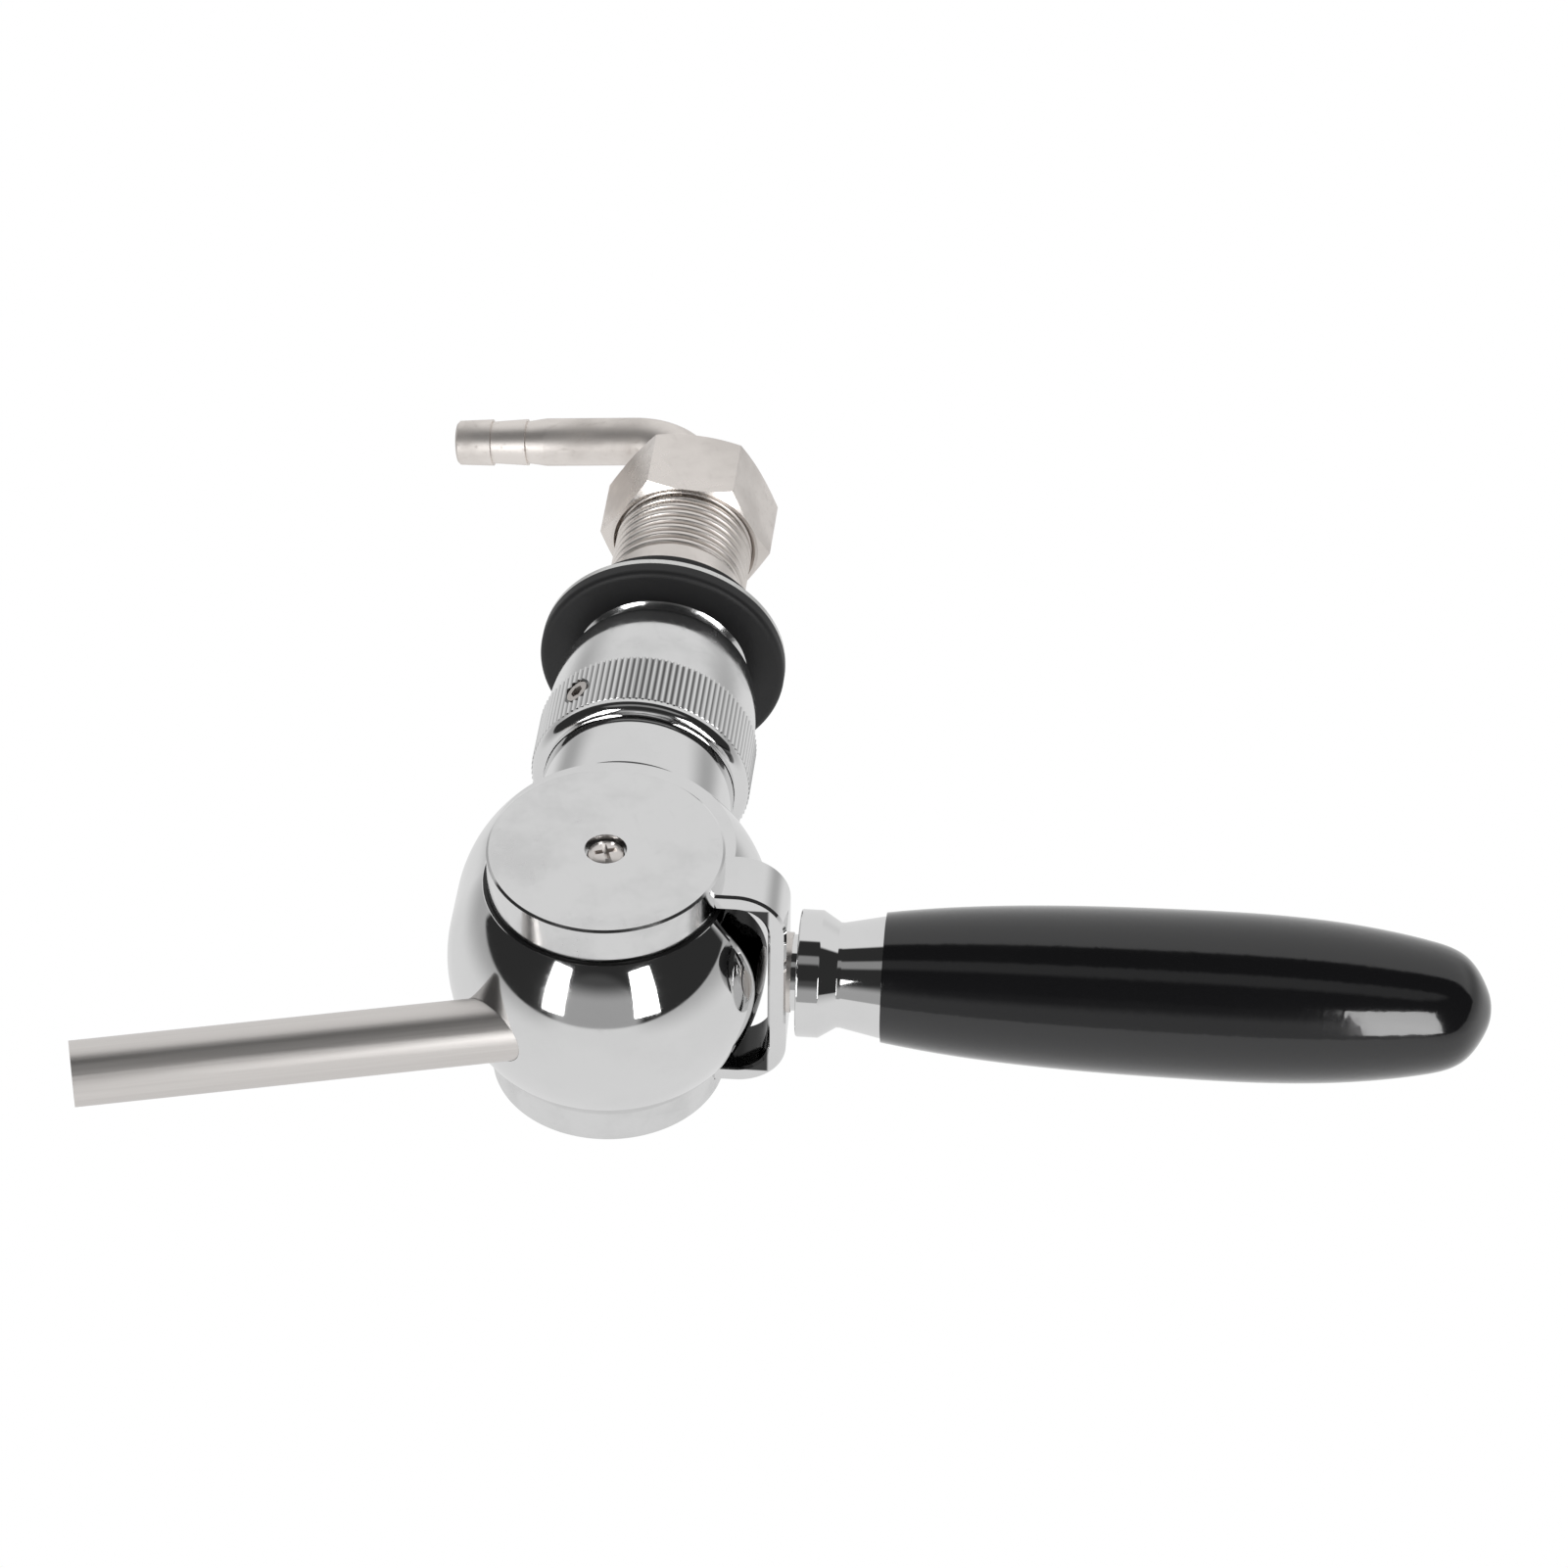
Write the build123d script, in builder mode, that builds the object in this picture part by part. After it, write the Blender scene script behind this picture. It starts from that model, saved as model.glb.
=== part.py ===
from build123d import *
import os
from math import asin, cos, degrees, pi, radians, sin, sqrt

os.makedirs("parts", exist_ok=True)

# Millimetres. +Z is up, -Y faces the drinker, and the shank runs along +Y from the wall face at y = 0.

# Clearances that the fits share
running_clearance = 0.05
loose_clearance = 0.1
soft_clearance = 0.3

# Wall stack on the shank, from the wall face towards the drinker
thread_radius = 11.456
rubber_thickness = 5.1
rubber_radius = 16.6
backing_thickness = 1.2
backing_radius = 19.3
flange_thickness = 2.55
flange_radius = 20.25
flange_rounding = 1.0
stack_bore_radius = thread_radius + loose_clearance

# Shank head: collar behind the flange, shoulder and taper
collar_radius = 14.0
collar_length = 5.4
shoulder_radius = 14.8
shoulder_length = 1.0
taper_radius = 17.3
taper_length = 11.3
shank_bore_radius = 5.0

# Flow-control ring
ring_radius = 17.8
knurl_length = 10.0
knurl_depth = 0.45
knurl_count = 108
lip_length = 2.1
lip_set_in = 0.2
ring_travel = 40.0
ring_screw_angle = -128.5
ring_screw_radius = 2.0
ring_screw_spot_radius = 2.5
ring_screw_spot_depth = 0.7
ring_screw_socket = 2.0
ring_screw_socket_depth = 2.6
dog_radius = 1.5

# Neck, with the sleeve that carries the ring and the spigot that enters the shank
neck_radius = 15.5
neck_reach = 38.85
sleeve_radius = 12.5
spigot_radius = 11.9
spigot_length = 7.0
neck_washer_thickness = 1.6
neck_blend = 2.0

# Ball, a barrel turned about the crosswise pivot
ball_radius = 25.1
ball_crown_radius = 45.0
ball_half_width = 16.1
ball_rim_rounding = 1.5

# Rotor and its seat
rotor_radius = 11.95
rotor_end_gap = 0.2
drive_square = 7.0
port_radius = 4.0
open_angle = 85.0
seat_inner_radius = 4.2
seat_outer_radius = 7.0
seat_back_reach = 14.6
rotor_seal_place = 12.0

# Compensator and the chamber it slides in
chamber_radius = 8.0
chamber_throat_radius = 4.6
throat_reach = 17.0
chamber_taper_length = 16.0
compensator_travel = 3.0
compensator_shut_gap = 0.15
compensator_nose_reach = 20.2
compensator_nose_rounding = 1.5
guide_length = 16.5
groove_depth = 1.9
flow_flat_depth = 2.2
key_width = 2.0
key_height = 1.0
key_length = 8.0

# O-rings: cord radius and the width and depth of a groove around it
cord_radius = 0.85
groove_width = 2.2

# Spout
spout_lean = 15.25
spout_offset = 13.8
spout_radius = 5.15
spout_wall = 0.8
spout_reach = 85.0
spout_seat = 8.7
channel_top = 5.0
spout_seal_place = 11.7

# Lever: yoke, caps and rest angle
lever_tilt = 2.1
handle_offset = -1.6
yoke_half_span = 20.0
yoke_thickness = 2.9
yoke_height = 28.55
yoke_width = 9.6
yoke_bend = 8.0
yoke_edge = 0.4
eye_radius = 8.0
cap_radius = 18.5
cap_face = 22.76
cap_gap = 0.3
cap_edge = 0.35
cap_screw_head_radius = 2.95
cap_screw_head_height = 1.5
cap_screw_recess = 1.9
cap_screw_recess_radius = 3.3
cap_screw_radius = 2.0
cap_screw_length = 9.0

# Handle, measured from the pivot up the handle
stud_radius = 4.0
stud_top = 68.0
lock_washer_radius = 6.3
lock_washer_thickness = 0.65
stud_nut_radius = 6.0
stud_nut_thickness = 1.0
ferrule_collar_radius = 10.0
ferrule_collar_length = 3.5
ferrule_bevel_length = 2.8
ferrule_waist_radius = 8.25
ferrule_waist_length = 0.6
ferrule_flare_length = 6.45
ferrule_rim_radius = 9.6
ferrule_edge = 0.3
grip_base_radius = 10.2
grip_base_flare = 0.16
grip_belly_radius = 13.2
grip_belly_height = 44.9
grip_shoulder_radius = 10.5
grip_shoulder_height = 84.6
grip_dome_radius = 8.2
grip_dome_height = 90.6
grip_crown_radius = 4.0
grip_crown_height = 93.7
grip_length = 94.7
insert_radius = 6.0
insert_length = 24.0
insert_set_in = 2.3

# Union nut and hose tail
free_thread = 22.0
nut_length = 14.4
nut_across_flats = 25.0
nut_turn = 25.9
nut_chamfer_angle = 30.0
nut_mouth_radius = 12.0
nut_mouth_depth = 0.6
nut_engagement = 4.9
tail_washer_thickness = 1.5
tail_collar_radius = 9.8
tail_collar_thickness = 3.0
tail_hub_radius = 5.0
tail_hub_length = 3.0
tail_radius = 4.1
tail_bore_radius = 2.8
tail_straight = 1.8
tail_bend_radius = 12.0
tail_swing = 6.0
tail_grip_length = 15.4
barb_radius = 4.0
barb_root_radius = 3.6
barb_length = 6.1
barb_lead_length = 3.3
tail_tip_chamfer = 0.4

# Places along the shank
backing_front = -rubber_thickness - backing_thickness
flange_front = backing_front - flange_thickness
collar_front = flange_front - collar_length
shoulder_front = collar_front - shoulder_length
head_front = shoulder_front - taper_length
ring_back = head_front - loose_clearance
knurl_front = ring_back - knurl_length
ring_front = knurl_front - lip_length
ring_middle = knurl_front + knurl_length / 2
ball_y = ring_front - neck_reach
spigot_end = head_front + spigot_length
socket_floor = spigot_end + neck_washer_thickness
nut_front = free_thread
nut_back = nut_front + nut_length
shank_end = nut_front + nut_engagement
collar_start = shank_end + tail_washer_thickness
collar_end = collar_start + tail_collar_thickness
tail_axis_y = nut_back + tail_straight + tail_bend_radius

# Sizes that follow from the ones above
ring_bore_radius = sleeve_radius + running_clearance
ring_counterbore_radius = neck_radius + loose_clearance
rotor_bore_radius = rotor_radius + running_clearance
rotor_half_length = ball_half_width - rotor_end_gap
spout_bore_radius = spout_radius - spout_wall
socket_radius = spout_radius + running_clearance
cap_inner = ball_half_width + cap_gap
screw_thread_radius = cap_screw_radius - running_clearance
stud_hole_radius = stud_radius + running_clearance
square_hole = drive_square + 2 * running_clearance
drive_half_length = yoke_half_span - loose_clearance
cap_recess_floor = cap_face - cap_screw_recess
stud_foot = yoke_height - yoke_thickness
yoke_inner_span = yoke_half_span - yoke_thickness
washer_top = yoke_height + lock_washer_thickness
ferrule_foot = washer_top + stud_nut_thickness
bevel_foot = ferrule_foot + ferrule_collar_length
waist_foot = bevel_foot + ferrule_bevel_length
flare_foot = waist_foot + ferrule_waist_length
grip_foot = flare_foot + ferrule_flare_length
insert_foot = grip_foot + insert_set_in
insert_top = insert_foot + insert_length
groove_slot_width = 2 * (dog_radius + loose_clearance)
helix_pitch = compensator_travel * 360 / ring_travel

# Directions and planes
pivot = Vector(0, ball_y, 0)
tilt = radians(lever_tilt)
lever_up = Vector(0, sin(tilt), cos(tilt))
lever_back = Vector(0, cos(tilt), -sin(tilt))
pivot_axis = Axis(pivot, (1, 0, 0))
handle_foot = pivot + lever_back * handle_offset
handle_axis = Axis(handle_foot, lever_up)
handle_plane = Plane(origin=handle_foot, x_dir=(1, 0, 0), z_dir=lever_back * -1)
lean = radians(spout_lean)
spout_way = Vector(0, -sin(lean), -cos(lean))
spout_plane = Plane(
    origin=pivot + Vector(0, -cos(lean), sin(lean)) * spout_offset,
    x_dir=(1, 0, 0),
    z_dir=spout_way,
)
swing = radians(tail_swing)
tail_way = Vector(sin(swing), 0, -cos(swing))
tail_corner = Vector(0, tail_axis_y, 0)


def across_shank(y):
    """Plane square to the shank's axis, facing +Y."""
    return Plane(origin=(0, y, 0), x_dir=(1, 0, 0), z_dir=(0, 1, 0))


def across_pivot(x):
    """Plane square to the pivot with the lever's own directions, facing +X."""
    return Plane(origin=pivot + Vector(x, 0, 0), x_dir=lever_back, z_dir=(1, 0, 0))


def handle_level(height):
    """Plane square to the handle's axis at a height above the pivot, facing up the handle."""
    return Plane(origin=handle_foot + lever_up * height, x_dir=(1, 0, 0), z_dir=lever_up)


def out_of_shank(angle):
    """Direction square to the shank, turned about +Y from straight up."""
    return Vector(sin(radians(angle)), 0, cos(radians(angle)))


def turned(points, axis=Axis.Y, plane=Plane.XY, mode=Mode.ADD):
    """Turn a closed outline of (radius, place) points about an axis in its plane."""
    with BuildSketch(plane) as outline:
        with BuildLine():
            Polyline(*points, close=True)
        make_face()
    revolve(outline.sketch, axis=axis, mode=mode)


def collar_points(inner, outer, start, stop):
    """Corner points of a plain ring's section."""
    return [(inner, start), (outer, start), (outer, stop), (inner, stop)]


def disc(plane, radius, length, mode=Mode.ADD):
    """Round prism from a plane, along its normal."""
    with BuildSketch(plane) as outline:
        Circle(radius)
    extrude(outline.sketch, amount=length, mode=mode)


def square_prism(plane, side, length, mode=Mode.ADD):
    """Square prism from a plane, along its normal."""
    with BuildSketch(plane) as outline:
        Rectangle(side, side)
    extrude(outline.sketch, amount=length, mode=mode)


def o_ring(middle_radius, plane, mode=Mode.ADD):
    """Round-section ring about a plane's normal."""
    with Locations(plane):
        Torus(middle_radius, cord_radius, mode=mode)


def save(piece, name):
    """Label a piece and write its file."""
    piece.part.label = name
    export_step(piece.part, "parts/" + name + ".step")


pin_way = out_of_shank(ring_screw_angle)
pin_plane = Plane(origin=(0, ring_middle, 0), z_dir=pin_way)

seal_floor_radius = ring_bore_radius - soft_clearance - 2 * cord_radius
seal_middle_radius = seal_floor_radius + cord_radius
slot_half_width = groove_slot_width / 2
front_seal_y = (knurl_front + ring_middle - slot_half_width) / 2
back_seal_y = (ring_back + ring_middle + slot_half_width) / 2
neck_shoulder = knurl_front - loose_clearance
throat_y = ball_y + throat_reach
chamber_y = throat_y + chamber_taper_length
seat_back = ball_y + seat_back_reach
key_top = chamber_radius + key_height
spout_groove_radius = spout_radius + soft_clearance + 2 * cord_radius

# Ball body: barrel, neck, sleeve and spigot, bored for rotor, seat, compensator and spout
ball_end_radius = ball_radius - ball_crown_radius + sqrt(ball_crown_radius**2 - ball_half_width**2)
with BuildPart() as ball_body:
    with BuildSketch(Plane.XY):
        with BuildLine():
            ThreePointArc(
                (-ball_half_width, ball_y + ball_end_radius),
                (0, ball_y + ball_radius),
                (ball_half_width, ball_y + ball_end_radius),
            )
            Polyline(
                (ball_half_width, ball_y + ball_end_radius),
                (ball_half_width, ball_y),
                (-ball_half_width, ball_y),
                (-ball_half_width, ball_y + ball_end_radius),
            )
        make_face()
    revolve(axis=pivot_axis)
    fillet(ball_body.edges().filter_by(GeomType.CIRCLE), ball_rim_rounding)
    turned(
        [
            (0, ball_y),
            (neck_radius, ball_y),
            (neck_radius, neck_shoulder),
            (sleeve_radius, neck_shoulder),
            (sleeve_radius, head_front),
            (spigot_radius, head_front),
            (spigot_radius, spigot_end),
            (0, spigot_end),
        ]
    )
    neck_joint = ball_body.edges().filter_by(GeomType.BSPLINE)
    fillet(neck_joint, neck_blend)
    turned(
        [
            (0, ball_y),
            (seat_inner_radius, ball_y),
            (seat_inner_radius, throat_y),
            (chamber_throat_radius, throat_y),
            (chamber_radius, chamber_y),
            (chamber_radius, spigot_end),
            (0, spigot_end),
        ],
        mode=Mode.SUBTRACT,
    )
    disc(across_shank(ball_y), seat_outer_radius + running_clearance, seat_back_reach, mode=Mode.SUBTRACT)
    disc(across_pivot(-ball_half_width), rotor_bore_radius, 2 * ball_half_width, mode=Mode.SUBTRACT)
    disc(spout_plane.offset(-channel_top), port_radius, channel_top + spout_seat, mode=Mode.SUBTRACT)
    disc(spout_plane.offset(spout_seat), socket_radius, ball_radius, mode=Mode.SUBTRACT)
    disc(
        spout_plane.offset(spout_seal_place - groove_width / 2),
        spout_groove_radius,
        groove_width,
        mode=Mode.SUBTRACT,
    )
    for seal_y in (front_seal_y, back_seal_y):
        turned(
            collar_points(
                seal_floor_radius, sleeve_radius, seal_y - groove_width / 2, seal_y + groove_width / 2
            ),
            mode=Mode.SUBTRACT,
        )
    slot_reach = ring_travel + degrees(asin((dog_radius + loose_clearance) / chamber_radius))
    slot_start = out_of_shank(ring_screw_angle - slot_reach)
    with BuildSketch(Plane(origin=(0, ring_middle, 0), x_dir=slot_start, z_dir=slot_start.cross(Vector(0, 1, 0)))):
        with Locations(((chamber_radius + sleeve_radius) / 2, 0)):
            Rectangle(sleeve_radius - chamber_radius + 2 * dog_radius, groove_slot_width)
    revolve(axis=Axis.Y, revolution_arc=2 * slot_reach, mode=Mode.SUBTRACT)
    key_side = out_of_shank(ring_screw_angle + 180)
    with BuildSketch(Plane(origin=(0, chamber_y, 0), x_dir=key_side, z_dir=(0, 1, 0))):
        with Locations((key_top / 2, 0)):
            Rectangle(key_top + loose_clearance, key_width + 2 * loose_clearance)
    extrude(amount=spigot_end - chamber_y, mode=Mode.SUBTRACT)
save(ball_body, "ball_body")

# Rotor, shown shut: its port turns to face the drinker when the lever is pulled
port_angle = radians(open_angle)
port_way = Vector(0, -cos(port_angle), sin(port_angle))
rotor_groove_floor = rotor_radius - soft_clearance - 2 * cord_radius
with BuildPart() as rotor:
    disc(across_pivot(-rotor_half_length), rotor_radius, 2 * rotor_half_length)
    square_prism(across_pivot(-drive_half_length), drive_square, 2 * drive_half_length)
    disc(Plane(origin=pivot - port_way * rotor_radius, z_dir=port_way), port_radius, 2 * rotor_radius,
         mode=Mode.SUBTRACT)
    for side in (-1, 1):
        groove_plane = across_pivot(side * rotor_seal_place - groove_width / 2)
        with BuildSketch(groove_plane):
            Circle(rotor_radius)
            Circle(rotor_groove_floor, mode=Mode.SUBTRACT)
        extrude(amount=groove_width, mode=Mode.SUBTRACT)
        hole_start = across_pivot(side * drive_half_length)
        disc(hole_start, cap_screw_radius, -side * cap_screw_length, mode=Mode.SUBTRACT)
save(rotor, "rotor")

with BuildPart() as rotor_seals:
    for side in (-1, 1):
        o_ring(rotor_groove_floor + cord_radius, across_pivot(side * rotor_seal_place))
save(rotor_seals, "rotor_seals")

# Inlet seat: a ring whose front is hollowed to the rotor
with BuildPart() as inlet_seat:
    turned(collar_points(seat_inner_radius, seat_outer_radius, ball_y, seat_back))
    disc(across_pivot(-seat_outer_radius), rotor_bore_radius, 2 * seat_outer_radius, mode=Mode.SUBTRACT)
save(inlet_seat, "inlet_seat")

# Spout tube and its seal
with BuildPart() as spout:
    disc(spout_plane.offset(spout_seat), spout_radius, spout_reach - spout_seat)
    disc(spout_plane.offset(spout_seat), spout_bore_radius, spout_reach - spout_seat, mode=Mode.SUBTRACT)
save(spout, "spout")

with BuildPart() as spout_seal:
    o_ring(spout_groove_radius - cord_radius, spout_plane.offset(spout_seal_place))
save(spout_seal, "spout_seal")

# Flow-control ring: knurled band, rounded lip and tapped hole for the screw
lip_radius = ring_radius - lip_set_in
lip_width = lip_radius - ring_counterbore_radius
lip_slope = sqrt(0.5)
with BuildPart() as flow_ring:
    with BuildSketch(across_shank(knurl_front)):
        Circle(ring_radius)
        with PolarLocations(ring_radius, knurl_count):
            Rectangle(knurl_depth * sqrt(2), knurl_depth * sqrt(2), rotation=45, mode=Mode.SUBTRACT)
    extrude(amount=knurl_length)
    with BuildSketch(Plane.XY):
        with BuildLine():
            Polyline(
                (ring_counterbore_radius, ring_front),
                (0, ring_front),
                (0, knurl_front),
                (lip_radius, knurl_front),
            )
            ThreePointArc(
                (lip_radius, knurl_front),
                (ring_counterbore_radius + lip_width * lip_slope, knurl_front - lip_length * lip_slope),
                (ring_counterbore_radius, ring_front),
            )
        make_face()
    revolve(axis=Axis.Y)
    disc(across_shank(ring_front), ring_counterbore_radius, lip_length, mode=Mode.SUBTRACT)
    disc(across_shank(knurl_front), ring_bore_radius, knurl_length, mode=Mode.SUBTRACT)
    disc(pin_plane, ring_screw_radius + running_clearance, ring_radius, mode=Mode.SUBTRACT)
    disc(
        pin_plane.offset(ring_radius - ring_screw_spot_depth),
        ring_screw_spot_radius,
        2 * ring_screw_spot_depth,
        mode=Mode.SUBTRACT,
    )
save(flow_ring, "flow_ring")

# Grub screw with a dog point that reaches into the compensator's groove
groove_floor_radius = chamber_radius - groove_depth
dog_tip = groove_floor_radius + soft_clearance
screw_top = ring_radius - ring_screw_spot_depth / 2
with BuildPart() as ring_screw:
    disc(pin_plane.offset(ring_bore_radius), ring_screw_radius, screw_top - ring_bore_radius)
    disc(pin_plane.offset(dog_tip), dog_radius, ring_bore_radius - dog_tip)
    with BuildSketch(pin_plane.offset(screw_top)):
        RegularPolygon(ring_screw_socket / 2, 6, major_radius=False)
    extrude(amount=-ring_screw_socket_depth, mode=Mode.SUBTRACT)
save(ring_screw, "ring_screw")

with BuildPart() as ring_front_seal:
    o_ring(seal_middle_radius, across_shank(front_seal_y))
save(ring_front_seal, "ring_front_seal")

with BuildPart() as ring_back_seal:
    o_ring(seal_middle_radius, across_shank(back_seal_y))
save(ring_back_seal, "ring_back_seal")

# Compensator, drawn along its own +Z and set on the shank's axis: cone, guide, helical groove, key and flats
cone_slope = (chamber_radius - chamber_throat_radius) / chamber_taper_length
cone_gap = compensator_travel * cone_slope + compensator_shut_gap
guide_radius = chamber_radius - running_clearance
cone_back = chamber_taper_length
nose_place = compensator_nose_reach - throat_reach
nose_radius = chamber_throat_radius + nose_place * cone_slope - cone_gap
cone_back_radius = chamber_radius - cone_gap
guide_front = cone_back + compensator_travel + loose_clearance
guide_back = guide_front + guide_length
groove_place = ring_middle - throat_y
groove_sweep = slot_reach
groove_start = groove_place - helix_pitch * groove_sweep / 360
with BuildPart() as compensator_blank:
    turned(
        [
            (0, nose_place),
            (nose_radius, nose_place),
            (cone_back_radius, cone_back),
            (cone_back_radius, guide_front),
            (guide_radius, guide_front),
            (guide_radius, guide_back),
            (0, guide_back),
        ],
        axis=Axis.Z,
        plane=Plane.XZ,
    )
    fillet(compensator_blank.edges().sort_by(Axis.Z)[0], compensator_nose_rounding)
    for turn in (110, 180, 250):
        flat_way = groove_sweep + turn
        with Locations(Rotation(0, 0, flat_way)):
            with Locations((guide_radius, 0, guide_front + guide_length / 2)):
                if turn != 180:
                    Box(2 * flow_flat_depth, 2 * guide_radius, guide_length, mode=Mode.SUBTRACT)
                else:
                    Box(2 * key_height, key_width, key_length)
    with BuildLine() as groove_path:
        Helix(helix_pitch, helix_pitch * 2 * groove_sweep / 360, guide_radius, center=(0, 0, groove_start))
    with BuildSketch(Plane(origin=groove_path.line @ 0, x_dir=(1, 0, 0), z_dir=groove_path.line % 0)):
        Rectangle(2 * (guide_radius - groove_floor_radius), groove_slot_width)
    sweep(path=groove_path.line, is_frenet=True, mode=Mode.SUBTRACT)

compensator_start = out_of_shank(ring_screw_angle - groove_sweep)
with BuildPart() as compensator:
    with Locations(Plane(origin=(0, throat_y, 0), x_dir=compensator_start, z_dir=(0, 1, 0))):
        add(compensator_blank.part)
save(compensator, "compensator")

# Shank: tapered head with the socket for the neck, collar and pipe
with BuildPart() as shank:
    turned(
        [
            (0, head_front),
            (taper_radius, head_front),
            (shoulder_radius, shoulder_front),
            (collar_radius, collar_front),
            (collar_radius, flange_front),
            (thread_radius, flange_front),
            (thread_radius, shank_end),
            (0, shank_end),
        ]
    )
    disc(across_shank(head_front), spigot_radius + running_clearance, socket_floor - head_front,
         mode=Mode.SUBTRACT)
    disc(across_shank(socket_floor), shank_bore_radius, shank_end - socket_floor, mode=Mode.SUBTRACT)
save(shank, "shank")

with BuildPart() as neck_washer:
    turned(collar_points(chamber_radius, spigot_radius - soft_clearance, spigot_end, socket_floor))
save(neck_washer, "neck_washer")

# Flange and washers
with BuildPart() as flange:
    turned(collar_points(stack_bore_radius, flange_radius, flange_front, backing_front))
    fillet(flange.edges().filter_by_position(Axis.Y, flange_front, flange_front).sort_by(SortBy.LENGTH)[-1],
           flange_rounding)
save(flange, "flange")

with BuildPart() as backing_washer:
    turned(collar_points(stack_bore_radius, backing_radius, backing_front, -rubber_thickness))
save(backing_washer, "backing_washer")

with BuildPart() as rubber_washer:
    turned(collar_points(stack_bore_radius, rubber_radius, -rubber_thickness, 0))
save(rubber_washer, "rubber_washer")

# Union nut: hexagon with both ends turned to a chamfer, open in front and walled behind
nut_corner_radius = nut_across_flats / sqrt(3)
nut_face_radius = nut_across_flats / 2
chamfer_rise = (nut_corner_radius - nut_face_radius) * sin(radians(nut_chamfer_angle)) / cos(radians(nut_chamfer_angle))
nut_bore_radius = thread_radius + running_clearance
with BuildPart() as union_nut:
    with BuildSketch(across_shank(nut_front)):
        RegularPolygon(nut_corner_radius, 6, rotation=-nut_turn)
    extrude(amount=nut_length)
    turned(
        [
            (0, nut_front),
            (nut_face_radius, nut_front),
            (nut_corner_radius, nut_front + chamfer_rise),
            (nut_corner_radius, nut_back - chamfer_rise),
            (nut_face_radius, nut_back),
            (0, nut_back),
        ],
        mode=Mode.INTERSECT,
    )
    turned(
        [
            (0, nut_front),
            (nut_mouth_radius, nut_front),
            (nut_bore_radius, nut_front + nut_mouth_depth),
            (nut_bore_radius, collar_end),
            (tail_hub_radius + loose_clearance, collar_end),
            (tail_hub_radius + loose_clearance, nut_back),
            (0, nut_back),
        ],
        mode=Mode.SUBTRACT,
    )
save(union_nut, "union_nut")

with BuildPart() as tail_washer:
    turned(collar_points(shank_bore_radius, tail_collar_radius, shank_end, collar_start))
save(tail_washer, "tail_washer")

# Hose tail: collar, hub, bent tube and barbed end
bend_centre = tail_corner - Vector(0, tail_bend_radius, 0) + tail_way * tail_bend_radius
bend_middle = bend_centre + (Vector(0, 1, 0) - tail_way) * (tail_bend_radius * sqrt(0.5))
bend_start = Vector(0, tail_axis_y - tail_bend_radius, 0)
bend_stop = tail_corner + tail_way * tail_bend_radius
barb_start = tail_bend_radius + tail_grip_length
second_barb = barb_start + barb_lead_length
first_barb = second_barb + barb_length
tail_reach = first_barb + barb_length
tail_plane = Plane(origin=tail_corner, x_dir=(0, 1, 0), z_dir=tail_way.cross(Vector(0, 1, 0)) * -1)
with BuildPart() as tail_elbow:
    with BuildLine() as tail_path:
        Line(Vector(0, collar_start, 0), bend_start)
        ThreePointArc(bend_start, bend_middle, bend_stop)
        Line(bend_stop, tail_corner + tail_way * barb_start)
    with BuildSketch(across_shank(collar_start)):
        Circle(tail_radius)
        Circle(tail_bore_radius, mode=Mode.SUBTRACT)
    sweep(path=tail_path.line)
    turned(collar_points(tail_radius, tail_collar_radius, collar_start, collar_end))
    turned(collar_points(tail_radius, tail_hub_radius, collar_end, collar_end + tail_hub_length))
    turned(
        [
            (tail_bore_radius, barb_start),
            (tail_radius, barb_start),
            (barb_root_radius, second_barb),
            (barb_radius, second_barb),
            (barb_root_radius, first_barb),
            (barb_radius, first_barb),
            (barb_root_radius + tail_tip_chamfer / 2, tail_reach - tail_tip_chamfer),
            (barb_root_radius - tail_tip_chamfer / 2, tail_reach),
            (tail_bore_radius, tail_reach),
        ],
        axis=Axis(tail_corner, tail_way),
        plane=tail_plane,
    )
save(tail_elbow, "tail_elbow")

# Yoke: bent strap with an eye at each end and a square hole in each eye
with BuildPart() as yoke:
    with BuildSketch(handle_plane):
        with BuildLine():
            FilletPolyline(
                (-yoke_half_span, 0),
                (-yoke_half_span, yoke_height),
                (yoke_half_span, yoke_height),
                (yoke_half_span, 0),
                radius=yoke_bend,
            )
            Line((yoke_half_span, 0), (yoke_inner_span, 0))
            FilletPolyline(
                (yoke_inner_span, 0),
                (yoke_inner_span, stud_foot),
                (-yoke_inner_span, stud_foot),
                (-yoke_inner_span, 0),
                radius=yoke_bend - yoke_thickness,
            )
            Line((-yoke_inner_span, 0), (-yoke_half_span, 0))
        make_face()
    extrude(amount=yoke_width / 2, both=True)
    chamfer(yoke.faces().filter_by(lambda face: abs(face.normal_at().dot(lever_back)) > 0.99).edges(), yoke_edge)
    for side in (-1, 1):
        disc(across_pivot(side * yoke_half_span), eye_radius, -side * yoke_thickness)
    square_prism(across_pivot(-yoke_half_span), square_hole, 2 * yoke_half_span, mode=Mode.SUBTRACT)
    disc(handle_level(stud_foot), stud_hole_radius, yoke_thickness, mode=Mode.SUBTRACT)
save(yoke, "yoke")

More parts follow.
